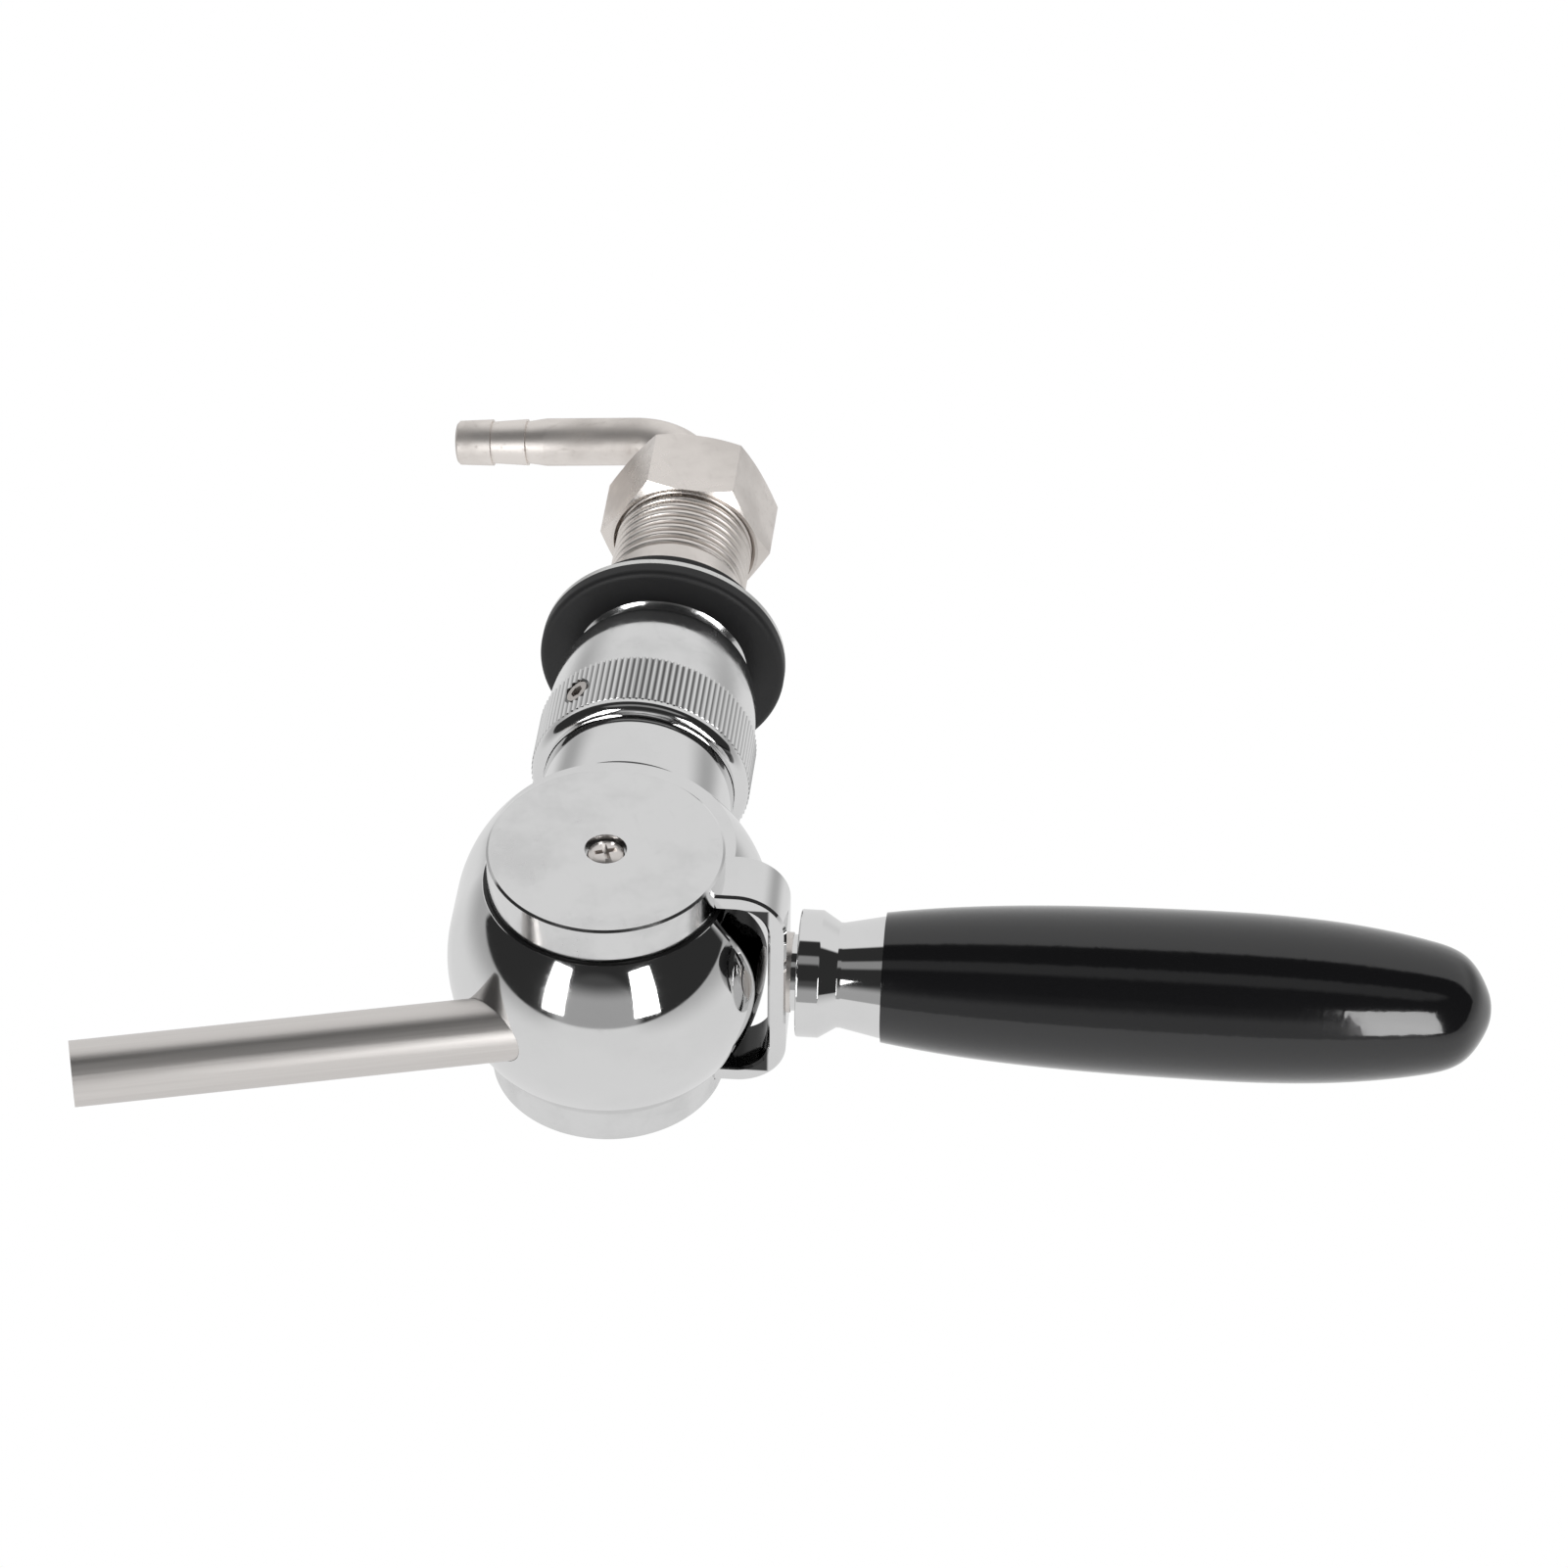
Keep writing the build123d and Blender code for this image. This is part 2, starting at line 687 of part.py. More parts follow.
# Caps: each is let in behind for an eye and the strap, and recessed in front for its screw
with BuildPart() as right_cap:
    disc(across_pivot(cap_inner), cap_radius, cap_face - cap_inner)
    chamfer(right_cap.faces().sort_by(Axis.X)[-1].edges(), cap_edge)
    disc(across_pivot(cap_inner), eye_radius + running_clearance, yoke_half_span - cap_inner, mode=Mode.SUBTRACT)
    with BuildSketch(across_pivot(cap_inner)):
        with Locations((handle_offset, cap_radius / 2)):
            Rectangle(yoke_width + 2 * running_clearance, cap_radius)
    extrude(amount=yoke_half_span - cap_inner, mode=Mode.SUBTRACT)
    disc(across_pivot(yoke_half_span), cap_screw_radius + running_clearance, cap_face - yoke_half_span,
         mode=Mode.SUBTRACT)
    disc(across_pivot(cap_recess_floor), cap_screw_recess_radius, cap_screw_recess, mode=Mode.SUBTRACT)
save(right_cap, "right_cap")

with BuildPart() as left_cap:
    mirror(right_cap.part, about=Plane.YZ)
save(left_cap, "left_cap")

with BuildPart() as cap_screws:
    disc(across_pivot(cap_recess_floor - cap_screw_length), screw_thread_radius, cap_screw_length)
    disc(across_pivot(cap_recess_floor), cap_screw_head_radius, cap_screw_head_height)
    fillet(cap_screws.faces().sort_by(Axis.X)[-1].edges(), cap_screw_head_height / 2)
    mirror(about=Plane.YZ)
save(cap_screws, "cap_screws")

# Handle: stud, lock washer, nut, ferrule, insert and grip on the handle's axis
with BuildPart() as handle_stud:
    disc(handle_level(stud_foot), stud_radius, stud_top - stud_foot)
save(handle_stud, "handle_stud")

with BuildPart() as lock_washer:
    disc(handle_level(yoke_height), lock_washer_radius, lock_washer_thickness)
    disc(handle_level(yoke_height), stud_hole_radius, lock_washer_thickness, mode=Mode.SUBTRACT)
save(lock_washer, "lock_washer")

with BuildPart() as stud_nut:
    disc(handle_level(washer_top), stud_nut_radius, stud_nut_thickness)
    disc(handle_level(washer_top), stud_hole_radius, stud_nut_thickness, mode=Mode.SUBTRACT)
save(stud_nut, "stud_nut")

with BuildPart() as ferrule:
    turned(
        [
            (stud_hole_radius, ferrule_foot),
            (ferrule_collar_radius - ferrule_edge, ferrule_foot),
            (ferrule_collar_radius, ferrule_foot + ferrule_edge),
            (ferrule_collar_radius, bevel_foot),
            (ferrule_waist_radius, waist_foot),
            (ferrule_waist_radius, flare_foot),
            (ferrule_rim_radius, grip_foot),
            (stud_hole_radius, grip_foot),
        ],
        axis=handle_axis,
        plane=handle_plane,
    )
save(ferrule, "ferrule")

with BuildPart() as grip_insert:
    turned(collar_points(stud_hole_radius, insert_radius, insert_foot, insert_top), handle_axis, handle_plane)
save(grip_insert, "grip_insert")

with BuildPart() as grip:
    with BuildSketch(handle_plane):
        with BuildLine():
            Spline(
                (grip_base_radius, grip_foot),
                (grip_belly_radius, grip_foot + grip_belly_height),
                (grip_shoulder_radius, grip_foot + grip_shoulder_height),
                (grip_dome_radius, grip_foot + grip_dome_height),
                (grip_crown_radius, grip_foot + grip_crown_height),
                (0, grip_foot + grip_length),
                tangents=[(grip_base_flare, 1), (-1, 0)],
            )
            Polyline(
                (0, grip_foot + grip_length),
                (0, insert_top),
                (insert_radius + running_clearance, insert_top),
                (insert_radius + running_clearance, insert_foot),
                (stud_hole_radius, insert_foot),
                (stud_hole_radius, grip_foot),
                (grip_base_radius, grip_foot),
            )
        make_face()
    revolve(axis=handle_axis)
save(grip, "grip")
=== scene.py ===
"""Beer tap: ball valve with a yoke lever, leaning spout, knurled flow ring, threaded shank and hose tail."""

import logging
import math
from dataclasses import dataclass
from enum import Enum

import bmesh
import bpy
from mathutils import Matrix, Vector


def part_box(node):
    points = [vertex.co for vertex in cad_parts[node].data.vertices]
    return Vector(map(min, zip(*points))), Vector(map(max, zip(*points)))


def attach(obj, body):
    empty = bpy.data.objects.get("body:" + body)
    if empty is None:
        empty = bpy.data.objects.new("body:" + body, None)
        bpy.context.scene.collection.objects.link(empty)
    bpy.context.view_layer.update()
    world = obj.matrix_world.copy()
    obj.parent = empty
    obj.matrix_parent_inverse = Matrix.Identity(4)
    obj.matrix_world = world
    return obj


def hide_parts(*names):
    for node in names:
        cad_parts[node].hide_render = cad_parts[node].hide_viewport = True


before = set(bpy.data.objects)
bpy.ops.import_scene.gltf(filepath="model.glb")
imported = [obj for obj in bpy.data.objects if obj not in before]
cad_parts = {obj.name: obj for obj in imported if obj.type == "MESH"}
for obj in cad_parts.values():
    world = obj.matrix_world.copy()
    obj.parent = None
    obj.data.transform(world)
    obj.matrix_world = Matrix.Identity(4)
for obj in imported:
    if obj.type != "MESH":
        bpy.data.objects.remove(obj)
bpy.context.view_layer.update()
LOG = logging.getLogger("beer_tap")

Colour = tuple[float, float, float, float]
Socket = bpy.types.NodeSocket
NUMBER = "NodeSocketFloat"
VECTOR = "NodeSocketVector"
MM = 0.001
LEVER_LEAN = 2.1
SPOUT_LEAN = 15.25


class Body(Enum):
    """The bodies that this script's own pieces ride on."""

    BASE = "base"
    LEVER = "lever"


class Along(Enum):
    """Directions that a brushed grain may follow."""

    PIVOT = (0.0, math.radians(90), 0.0)
    HANDLE = (math.radians(-LEVER_LEAN), 0.0, 0.0)
    SPOUT = (math.radians(-SPOUT_LEAN), 0.0, 0.0)


class NodeSheet:
    """A node tree with short ways to add and join nodes."""

    def __init__(self, tree: bpy.types.NodeTree) -> None:
        """Keep the tree that nodes go into.

        Args:
            tree: A material's, world's or group's node tree.
        """
        self.tree = tree

    def add(self, kind: str, inputs: dict | None = None, **settings: object) -> bpy.types.Node:
        """Add a node, set its properties and feed its inputs.

        Args:
            kind: The node's type name.
            inputs: What goes into its inputs, by name or number.
            settings: Properties to set on it.

        Returns:
            The new node.
        """
        node = self.tree.nodes.new(kind)
        for name, value in settings.items():
            setattr(node, name, value)
        for key, value in (inputs or {}).items():
            self.feed(node.inputs[key], value)
        return node

    def feed(self, socket: Socket, value: object) -> None:
        """Join a socket to another, or set its own value.

        Args:
            socket: An input socket.
            value: An output socket, a number, a vector or a colour.
        """
        if isinstance(value, bpy.types.NodeSocket):
            self.tree.links.new(value, socket)
        else:
            socket.default_value = value

    def math(self, operation: str, first: object, second: object = 0.0, third: object = 0.0) -> Socket:
        """Work out a number from up to three others.

        Args:
            operation: The math node's operation.
            first: First number or socket.
            second: Second number or socket.
            third: Third number or socket.

        Returns:
            The result's socket.
        """
        return self.add("ShaderNodeMath", {0: first, 1: second, 2: third}, operation=operation).outputs[0]

    def vector(self, operation: str, first: object, second: object) -> Socket:
        """Work out a vector from two others.

        Args:
            operation: The vector math node's operation.
            first: First vector or socket.
            second: Second vector or socket.

        Returns:
            The result's socket.
        """
        return self.add("ShaderNodeVectorMath", {0: first, 1: second}, operation=operation).outputs[0]

    def scaled(self, vector: object, share: object) -> Socket:
        """Scale a vector or a colour by a number.

        Args:
            vector: The vector, colour or socket.
            share: The number or socket.

        Returns:
            The result's socket.
        """
        return self.add("ShaderNodeVectorMath", {0: vector, "Scale": share}, operation="SCALE").outputs[0]

    def dot(self, vector: Socket, direction: tuple[float, float, float]) -> Socket:
        """Length of a vector along a fixed direction.

        Args:
            vector: The vector's socket.
            direction: The fixed direction.

        Returns:
            The result's socket.
        """
        node = self.add("ShaderNodeVectorMath", {0: vector, 1: direction}, operation="DOT_PRODUCT")
        return node.outputs["Value"]

    def ramp(self, value: Socket, low: object, high: object, bottom: object = 0.0, top: float = 1.0) -> Socket:
        """Pass smoothly from one number to another as a value crosses a span.

        Args:
            value: The value that is followed.
            low: Where the change starts.
            high: Where the change ends.
            bottom: Result at and below the start.
            top: Result at and past the end.

        Returns:
            The result's socket.
        """
        span = {"Value": value, "From Min": low, "From Max": high, "To Min": bottom, "To Max": top}
        return self.add("ShaderNodeMapRange", span, interpolation_type="SMOOTHSTEP").outputs["Result"]

    def clamp(self, value: Socket) -> Socket:
        """Hold a number between nothing and one.

        Args:
            value: The number.

        Returns:
            The held number's socket.
        """
        return self.add("ShaderNodeClamp", {"Value": value}).outputs[0]

    def noise(self, vector: Socket, scale: object, detail: float = 2.0, roughness: float = 0.5) -> Socket:
        """Smooth three-dimensional noise.

        Args:
            vector: Where it is read.
            scale: Its scale, a number or a socket.
            detail: Octaves.
            roughness: Strength of the finer octaves.

        Returns:
            The noise's factor socket.
        """
        inputs = {"Vector": vector, "Scale": scale, "Detail": detail, "Roughness": roughness}
        return self.add("ShaderNodeTexNoise", inputs).outputs["Fac"]

    def mix(self, factor: object, first: object, second: object) -> Socket:
        """Mix two colours.

        Args:
            factor: Share of the second.
            first: First colour or socket.
            second: Second colour or socket.

        Returns:
            The mixed colour's socket.
        """
        inputs = {"Factor": factor, "A": first, "B": second}
        return self.add("ShaderNodeMix", inputs, data_type="RGBA").outputs["Result"]


def effect_group(name: str, inputs: dict[str, str], outputs: dict[str, str]) -> tuple[NodeSheet, dict, dict]:
    """Start a shader node group with named sockets.

    Args:
        name: The group's name.
        inputs: Socket type by input name.
        outputs: Socket type by output name.

    Returns:
        The group's sheet, its input sockets by name and its output sockets by name.
    """
    tree = bpy.data.node_groups.new(name, "ShaderNodeTree")
    for label, kind in inputs.items():
        tree.interface.new_socket(label, in_out="INPUT", socket_type=kind)
    for label, kind in outputs.items():
        tree.interface.new_socket(label, in_out="OUTPUT", socket_type=kind)
    sheet = NodeSheet(tree)
    entry = sheet.add("NodeGroupInput")
    leave = sheet.add("NodeGroupOutput")
    return sheet, {s.name: s for s in entry.outputs}, {s.name: s for s in leave.inputs}


def wiped_polish_group() -> bpy.types.NodeTree:
    """Faint cloths' marks and haze on a polished or satin surface.

    Returns:
        The node group.
    """
    sheet, given, out = effect_group(
        "wiped_polish",
        {"Vector": VECTOR, "Roughness": NUMBER, "Haze": NUMBER, "Scratches": NUMBER},
        {"Roughness": NUMBER, "Shade": NUMBER, "Height": NUMBER},
    )
    cloud = sheet.noise(given["Vector"], 70.0, 5.0, 0.6)
    haze = sheet.math("MULTIPLY", sheet.ramp(cloud, 0.42, 0.68), given["Haze"])
    strokes = []
    for turn, across in ((0.5, 900.0), (-0.9, 1200.0)):
        mapping = sheet.add("ShaderNodeMapping", {"Vector": given["Vector"], "Rotation": (turn, 0.3, 0.25)})
        stretched = sheet.vector("MULTIPLY", mapping.outputs[0], (across, across * 0.04, across))
        strokes.append(sheet.ramp(sheet.noise(stretched, 1.0, 2.0), 0.6, 0.75))
    stroke = sheet.math("MULTIPLY", sheet.math("MAXIMUM", *strokes), given["Scratches"])
    rough = sheet.math("ADD", given["Roughness"], sheet.math("ADD", haze, sheet.math("MULTIPLY", stroke, 0.35)))
    sheet.feed(out["Roughness"], rough)
    loss = sheet.math("ADD", haze, sheet.math("MULTIPLY", stroke, 0.12))
    sheet.feed(out["Shade"], sheet.math("MULTIPLY_ADD", loss, -0.6, 1.0))
    sheet.feed(out["Height"], sheet.math("MULTIPLY", stroke, -1.0))
    return sheet.tree


def brushed_grain_group() -> bpy.types.NodeTree:
    """Fine parallel lines along the vector's Z, with slow changes from line to line.

    Returns:
        The node group.
    """
    sheet, given, out = effect_group(
        "brushed_grain",
        {"Vector": VECTOR, "Lines": NUMBER, "Depth": NUMBER},
        {"Grain": NUMBER, "Height": NUMBER},
    )
    layers = []
    for across, along in ((1.0, 0.012), (0.35, 0.006)):
        stretched = sheet.vector("MULTIPLY", given["Vector"], (across, across, along))
        layers.append(sheet.noise(stretched, given["Lines"], 3.0, 0.6))
    grain = sheet.math("ADD", sheet.math("MULTIPLY", layers[0], 0.6), sheet.math("MULTIPLY", layers[1], 0.4))
    sheet.feed(out["Grain"], grain)
    sheet.feed(out["Height"], sheet.math("MULTIPLY", grain, given["Depth"]))
    return sheet.tree


def moulded_grain_group() -> bpy.types.NodeTree:
    """Fine even grain of a moulded or coated surface, with a little dust.

    Returns:
        The node group.
    """
    sheet, given, out = effect_group(
        "moulded_grain",
        {"Vector": VECTOR, "Grain": NUMBER, "Roughness": NUMBER, "Dust": NUMBER},
        {"Roughness": NUMBER, "Dust": NUMBER, "Height": NUMBER},
    )
    fine = sheet.noise(given["Vector"], given["Grain"], 5.0, 0.6)
    patchy = sheet.noise(given["Vector"], 140.0, 3.0)
    specks = sheet.ramp(sheet.noise(given["Vector"], 2600.0, 1.0), 0.72, 0.78)
    dust = sheet.math("MULTIPLY", sheet.math("MULTIPLY", specks, sheet.ramp(patchy, 0.4, 0.7)), given["Dust"])
    spread = sheet.math("MULTIPLY", sheet.math("SUBTRACT", patchy, 0.5), 0.12)
    sheet.feed(out["Roughness"], sheet.math("ADD", given["Roughness"], spread))
    sheet.feed(out["Dust"], dust)
    sheet.feed(out["Height"], fine)
    return sheet.tree


def painted_recess_shade_group() -> bpy.types.NodeTree:
    """Painted shade: a darker colour by distance from a line or by depth inside a box.

    Returns:
        The node group.
    """
    sheet, given, out = effect_group(
        "painted_recess_shade",
        {
            "Vector": VECTOR, "Middle": VECTOR, "Spread": VECTOR, "Boxed": NUMBER, "Dull": NUMBER,
            "Bright": NUMBER, "Floor": NUMBER, "Near": NUMBER, "Far": NUMBER,
        },
        {"Shade": NUMBER},
    )
    away = sheet.vector("SUBTRACT", given["Vector"], given["Middle"])
    weighed = sheet.vector("MULTIPLY", away, given["Spread"])
    length = sheet.add("ShaderNodeVectorMath", {0: weighed}, operation="LENGTH")
    parts = sheet.add("ShaderNodeSeparateXYZ", {0: weighed})
    widest = sheet.math("MAXIMUM", sheet.math("ABSOLUTE", parts.outputs["X"]), parts.outputs["Z"])
    boxed = sheet.math("MULTIPLY", given["Boxed"], widest)
    round_part = sheet.math("MULTIPLY", sheet.math("SUBTRACT", 1.0, given["Boxed"]), length.outputs["Value"])
    reach = sheet.math("ADD", boxed, round_part)
    # painted shade: full at the first distance, none past the second, never below Floor
    shade = sheet.ramp(reach, given["Dull"], given["Bright"], given["Floor"])
    place = sheet.add("ShaderNodeSeparateXYZ", {0: given["Vector"]})
    inside = sheet.math(
        "MULTIPLY", sheet.math("GREATER_THAN", place.outputs["Y"], given["Near"]),
        sheet.math("LESS_THAN", place.outputs["Y"], given["Far"]),
    )
    loss = sheet.math("MULTIPLY", inside, sheet.math("SUBTRACT", 1.0, shade))
    sheet.feed(out["Shade"], sheet.math("SUBTRACT", 1.0, loss))
    return sheet.tree


class Workshop:
    """The shared effects and the finished materials, each made once."""

    def __init__(self) -> None:
        """Build the shared effects."""
        self.effects = {
            "wiped_polish": wiped_polish_group(),
            "brushed_grain": brushed_grain_group(),
            "moulded_grain": moulded_grain_group(),
            "painted_recess_shade": painted_recess_shade_group(),
        }
        self.materials: dict[str, bpy.types.Material] = {}

    def start(self, name: str) -> tuple[NodeSheet, bpy.types.Node]:
        """Start a material.

        Args:
            name: The material's name.

        Returns:
            Its sheet and its Principled shader.
        """
        material = bpy.data.materials.new(name)
        material.use_nodes = True
        self.materials[name] = material
        return NodeSheet(material.node_tree), material.node_tree.nodes["Principled BSDF"]

    def effect(self, sheet: NodeSheet, name: str, **values: object) -> dict[str, Socket]:
        """Place a shared effect in a material.

        Args:
            sheet: The material's sheet.
            name: The effect's name.
            values: Its inputs by name.

        Returns:
            Its outputs by name.
        """
        node = sheet.add("ShaderNodeGroup", values, node_tree=self.effects[name])
        return {s.name: s for s in node.outputs}

    def place(self, sheet: NodeSheet, turn: tuple[float, float, float] = (0.0, 0.0, 0.0)) -> Socket:
        """Object coordinates turned so that a grain runs along one of the object's directions.

        Args:
            sheet: The material's sheet.
            turn: Rotation in radians.

        Returns:
            The turned coordinates.
        """
        inputs = {"Vector": sheet.add("ShaderNodeTexCoord").outputs["Object"], "Rotation": turn}
        return sheet.add("ShaderNodeMapping", inputs, vector_type="TEXTURE").outputs[0]

    def bump(self, sheet: NodeSheet, shader: bpy.types.Node, height: Socket, distance: float) -> None:
        """Raise a surface a little by a height.

        Args:
            sheet: The material's sheet.
            shader: Its Principled shader.
            height: The height's socket.
            distance: Rise in metres at a height of one.
        """
        node = sheet.add("ShaderNodeBump", {"Height": height, "Distance": distance, "Strength": 1.0})
        sheet.feed(shader.inputs["Normal"], node.outputs[0])


@dataclass(frozen=True)
class PolishedMetal:
    """Plated or polished metal with faint wiping marks."""

    name: str
    colour: Colour
    roughness: float
    haze: float
    scratches: float

    def make(self, shop: Workshop) -> bpy.types.Material:
        """Build the material.

        Args:
            shop: The shared effects.

        Returns:
            The material.
        """
        sheet, shader = shop.start(self.name)
        marks = shop.effect(
            sheet, "wiped_polish", Vector=shop.place(sheet), Roughness=self.roughness, Haze=self.haze,
            Scratches=self.scratches,
        )
        shader.inputs["Metallic"].default_value = 1.0
        sheet.feed(shader.inputs["Roughness"], marks["Roughness"])
        sheet.feed(shader.inputs["Base Color"], sheet.scaled(self.colour[:3], marks["Shade"]))
        shop.bump(sheet, shader, marks["Height"], 0.000004)
        return shop.materials[self.name]


@dataclass(frozen=True)
class PaintedShadeChrome(PolishedMetal):
    """Chrome with painted shade, darker by its position about a line."""

    middle: tuple[float, float, float] = (0.0, 0.0, 0.0)
    spread: tuple[float, float, float] = (1.0, 1.0, 1.0)
    boxed: bool = False
    darkest: float = 0.0
    bright: float = 1.0
    floor: float = 0.3
    span: tuple[float, float] = (-1.0, 1.0)

    def make(self, shop: Workshop) -> bpy.types.Material:
        """Build the material.

        Args:
            shop: The shared effects.

        Returns:
            The material.
        """
        material = super().make(shop)
        sheet = NodeSheet(material.node_tree)
        shader = material.node_tree.nodes["Principled BSDF"]
        reach = shop.effect(
            sheet, "painted_recess_shade", Vector=shop.place(sheet), Middle=self.middle, Spread=self.spread,
            Boxed=float(self.boxed), Dull=self.darkest, Bright=self.bright, Floor=self.floor, Near=self.span[0],
            Far=self.span[1],
        )
        colour = shader.inputs["Base Color"].links[0].from_socket
        # painted shade darkens the base colour
        sheet.feed(shader.inputs["Base Color"], sheet.scaled(colour, reach["Shade"]))
        return material


@dataclass(frozen=True)
class BrushedMetal:
    """Bare or satin metal with a grain along one direction."""

    name: str
    colour: Colour
    shadow: Colour
    roughness: float
    along: Along
    lines: float = 2200.0
    depth: float = 0.000006

    def make(self, shop: Workshop) -> bpy.types.Material:
        """Build the material.

        Args:
            shop: The shared effects.

        Returns:
            The material.
        """
        sheet, shader = shop.start(self.name)
        grain = shop.effect(
            sheet, "brushed_grain", Vector=shop.place(sheet, self.along.value), Lines=self.lines, Depth=1.0
        )
        shader.inputs["Metallic"].default_value = 1.0
        sheet.feed(shader.inputs["Base Color"], sheet.mix(grain["Grain"], self.shadow, self.colour))
        rough = sheet.math("MULTIPLY_ADD", grain["Grain"], 0.22, self.roughness - 0.11)
        sheet.feed(shader.inputs["Roughness"], rough)
        shop.bump(sheet, shader, grain["Height"], self.depth)
        return shop.materials[self.name]


@dataclass(frozen=True)
class MouldedSurface:
    """Plastic, rubber or coating with a fine grain and a trace of dust."""

    name: str
    colour: Colour
    dust_colour: Colour
    roughness: float
    grain: float
    depth: float
    dust: float
    coat: float = 0.0

    def make(self, shop: Workshop) -> bpy.types.Material:
        """Build the material.

        Args:
            shop: The shared effects.

        Returns:
            The material.
        """
        sheet, shader = shop.start(self.name)
        skin = shop.effect(
            sheet, "moulded_grain", Vector=shop.place(sheet), Grain=self.grain, Roughness=self.roughness,
            Dust=self.dust,
        )
        sheet.feed(shader.inputs["Base Color"], sheet.mix(skin["Dust"], self.colour, self.dust_colour))
        sheet.feed(shader.inputs["Roughness"], skin["Roughness"])
        shader.inputs["Coat Weight"].default_value = self.coat
        shader.inputs["Coat Roughness"].default_value = 0.03
        shop.bump(sheet, shader, skin["Height"], self.depth)
        return shop.materials[self.name]


CHROME_GREY = (0.80, 0.80, 0.80, 1)
CHROME = PolishedMetal("polished_chrome", CHROME_GREY, 0.035, 0.05, 0.08)
# painted shade in the knurl's grooves: darker towards the groove root radius within the knurled band
RING_CHROME = PaintedShadeChrome(
    "knurled_chrome_painted_shade", CHROME_GREY, 0.05, 0.05, 0.08, spread=(1.0, 0.0, 1.0), darkest=0.01738,
    bright=0.01776, floor=0.4, span=(-0.0366, -0.0267),
)
# painted shade on the yoke's inner face: darker close round the ball, down to 8% of its colour
YOKE_CHROME = PaintedShadeChrome(
    "yoke_chrome_painted_shade", CHROME_GREY, 0.05, 0.05, 0.08, middle=(0.0, -0.0776, 0.0),
    spread=(1.0, 0.0, 17.1 / 25.65), boxed=True, darkest=0.01715, bright=0.01745, floor=0.08,
)
CAP_CHROME = PolishedMetal("handled_chrome", CHROME_GREY, 0.10, 0.16, 0.22)
SATIN_NICKEL = PolishedMetal("satin_nickel", (0.86, 0.81, 0.77, 1), 0.27, 0.14, 0.3)
TAIL_NICKEL = PolishedMetal("drawn_nickel", (0.95, 0.90, 0.86, 1), 0.47, 0.16, 0.3)
WASHER_STEEL = PolishedMetal("plated_washer", (0.75, 0.75, 0.74, 1), 0.25, 0.16, 0.3)
SCREW_STEEL = PolishedMetal("screw_steel", (0.78, 0.74, 0.71, 1), 0.30, 0.12, 0.4)
SPOUT_STEEL = BrushedMetal(
    "brushed_spout_steel", (0.86, 0.83, 0.805, 1), (0.66, 0.63, 0.61, 1), 0.37, Along.SPOUT
)
INNER_STEEL = BrushedMetal("turned_steel", (0.68, 0.67, 0.66, 1), (0.5, 0.49, 0.48, 1), 0.28, Along.PIVOT)
BRASS = BrushedMetal("turned_brass", (0.75, 0.58, 0.30, 1), (0.58, 0.43, 0.2, 1), 0.25, Along.HANDLE)
GRIP_BLACK = MouldedSurface(
    "gloss_black_grip", (0.010, 0.010, 0.011, 1), (0.05, 0.05, 0.05, 1), 0.12, 500.0, 0.0000015, 0.15, 0.6
)
FLANGE_BLACK = MouldedSurface(
    "matt_black_flange", (0.018, 0.018, 0.019, 1), (0.09, 0.09, 0.09, 1), 0.52, 2200.0, 0.00002, 0.5
)
RUBBER = MouldedSurface(
    "black_rubber", (0.022, 0.022, 0.023, 1), (0.1, 0.1, 0.1, 1), 0.6, 1800.0, 0.00002, 0.5
)
SEAL_RUBBER = MouldedSurface(
    "seal_rubber", (0.02, 0.02, 0.02, 1), (0.06, 0.06, 0.06, 1), 0.4, 1500.0, 0.00001, 0.1
)
SEAT_PLASTIC = MouldedSurface(
    "waxy_white_seat", (0.82, 0.82, 0.80, 1), (0.6, 0.6, 0.6, 1), 0.35, 900.0, 0.00001, 0.1
)
PLUG_PLASTIC = MouldedSurface(
    "satin_white_plug", (0.78, 0.78, 0.76, 1), (0.6, 0.6, 0.6, 1), 0.4, 900.0, 0.00001, 0.1
)

NODE_FINISHES = {
    "ball_body": CHROME, "left_cap": CAP_CHROME, "right_cap": CAP_CHROME, "yoke": YOKE_CHROME,
    "stud_nut": CHROME, "ferrule": CHROME, "flow_ring": RING_CHROME, "shank": CAP_CHROME,
    "union_nut": SATIN_NICKEL, "tail_elbow": TAIL_NICKEL, "spout": SPOUT_STEEL, "cap_screws": SCREW_STEEL,
    "ring_screw": SCREW_STEEL, "lock_washer": SCREW_STEEL, "rotor": INNER_STEEL, "handle_stud": INNER_STEEL,
    "grip_insert": BRASS, "grip": GRIP_BLACK, "flange": FLANGE_BLACK, "backing_washer": WASHER_STEEL,
    "rubber_washer": RUBBER, "rotor_seals": SEAL_RUBBER, "spout_seal": SEAL_RUBBER,
    "ring_front_seal": SEAL_RUBBER, "ring_back_seal": SEAL_RUBBER, "neck_washer": SEAL_RUBBER,
    "tail_washer": SEAL_RUBBER, "inlet_seat": SEAT_PLASTIC, "compensator": PLUG_PLASTIC,
}


def dress_nodes(shop: Workshop) -> None:
    """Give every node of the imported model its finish.

    Args:
        shop: The shared effects and materials.
    """
    for name, finish in NODE_FINISHES.items():
        material = shop.materials.get(finish.name) or finish.make(shop)
        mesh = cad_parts[name].data
        mesh.materials.clear()
        mesh.materials.append(material)
        LOG.info("dressed %s in %s", name, finish.name)


@dataclass(frozen=True)
class Corner:
    """A corner of a turned outline, in millimetres."""

    radius: float
    place: float
    rounding: float = 0.0


@dataclass(frozen=True)
class Axle:
    """A line that pieces are turned about."""

    foot: Vector
    direction: Vector

    def matrix(self) -> Matrix:
        """Turn local millimetres, with Z along the line, into the tap's metres.

        Returns:
            The matrix.
        """
        turn = Vector((0, 0, 1)).rotation_difference(self.direction).to_matrix().to_4x4()
        return Matrix.Translation(self.foot) @ turn @ Matrix.Scale(MM, 4)


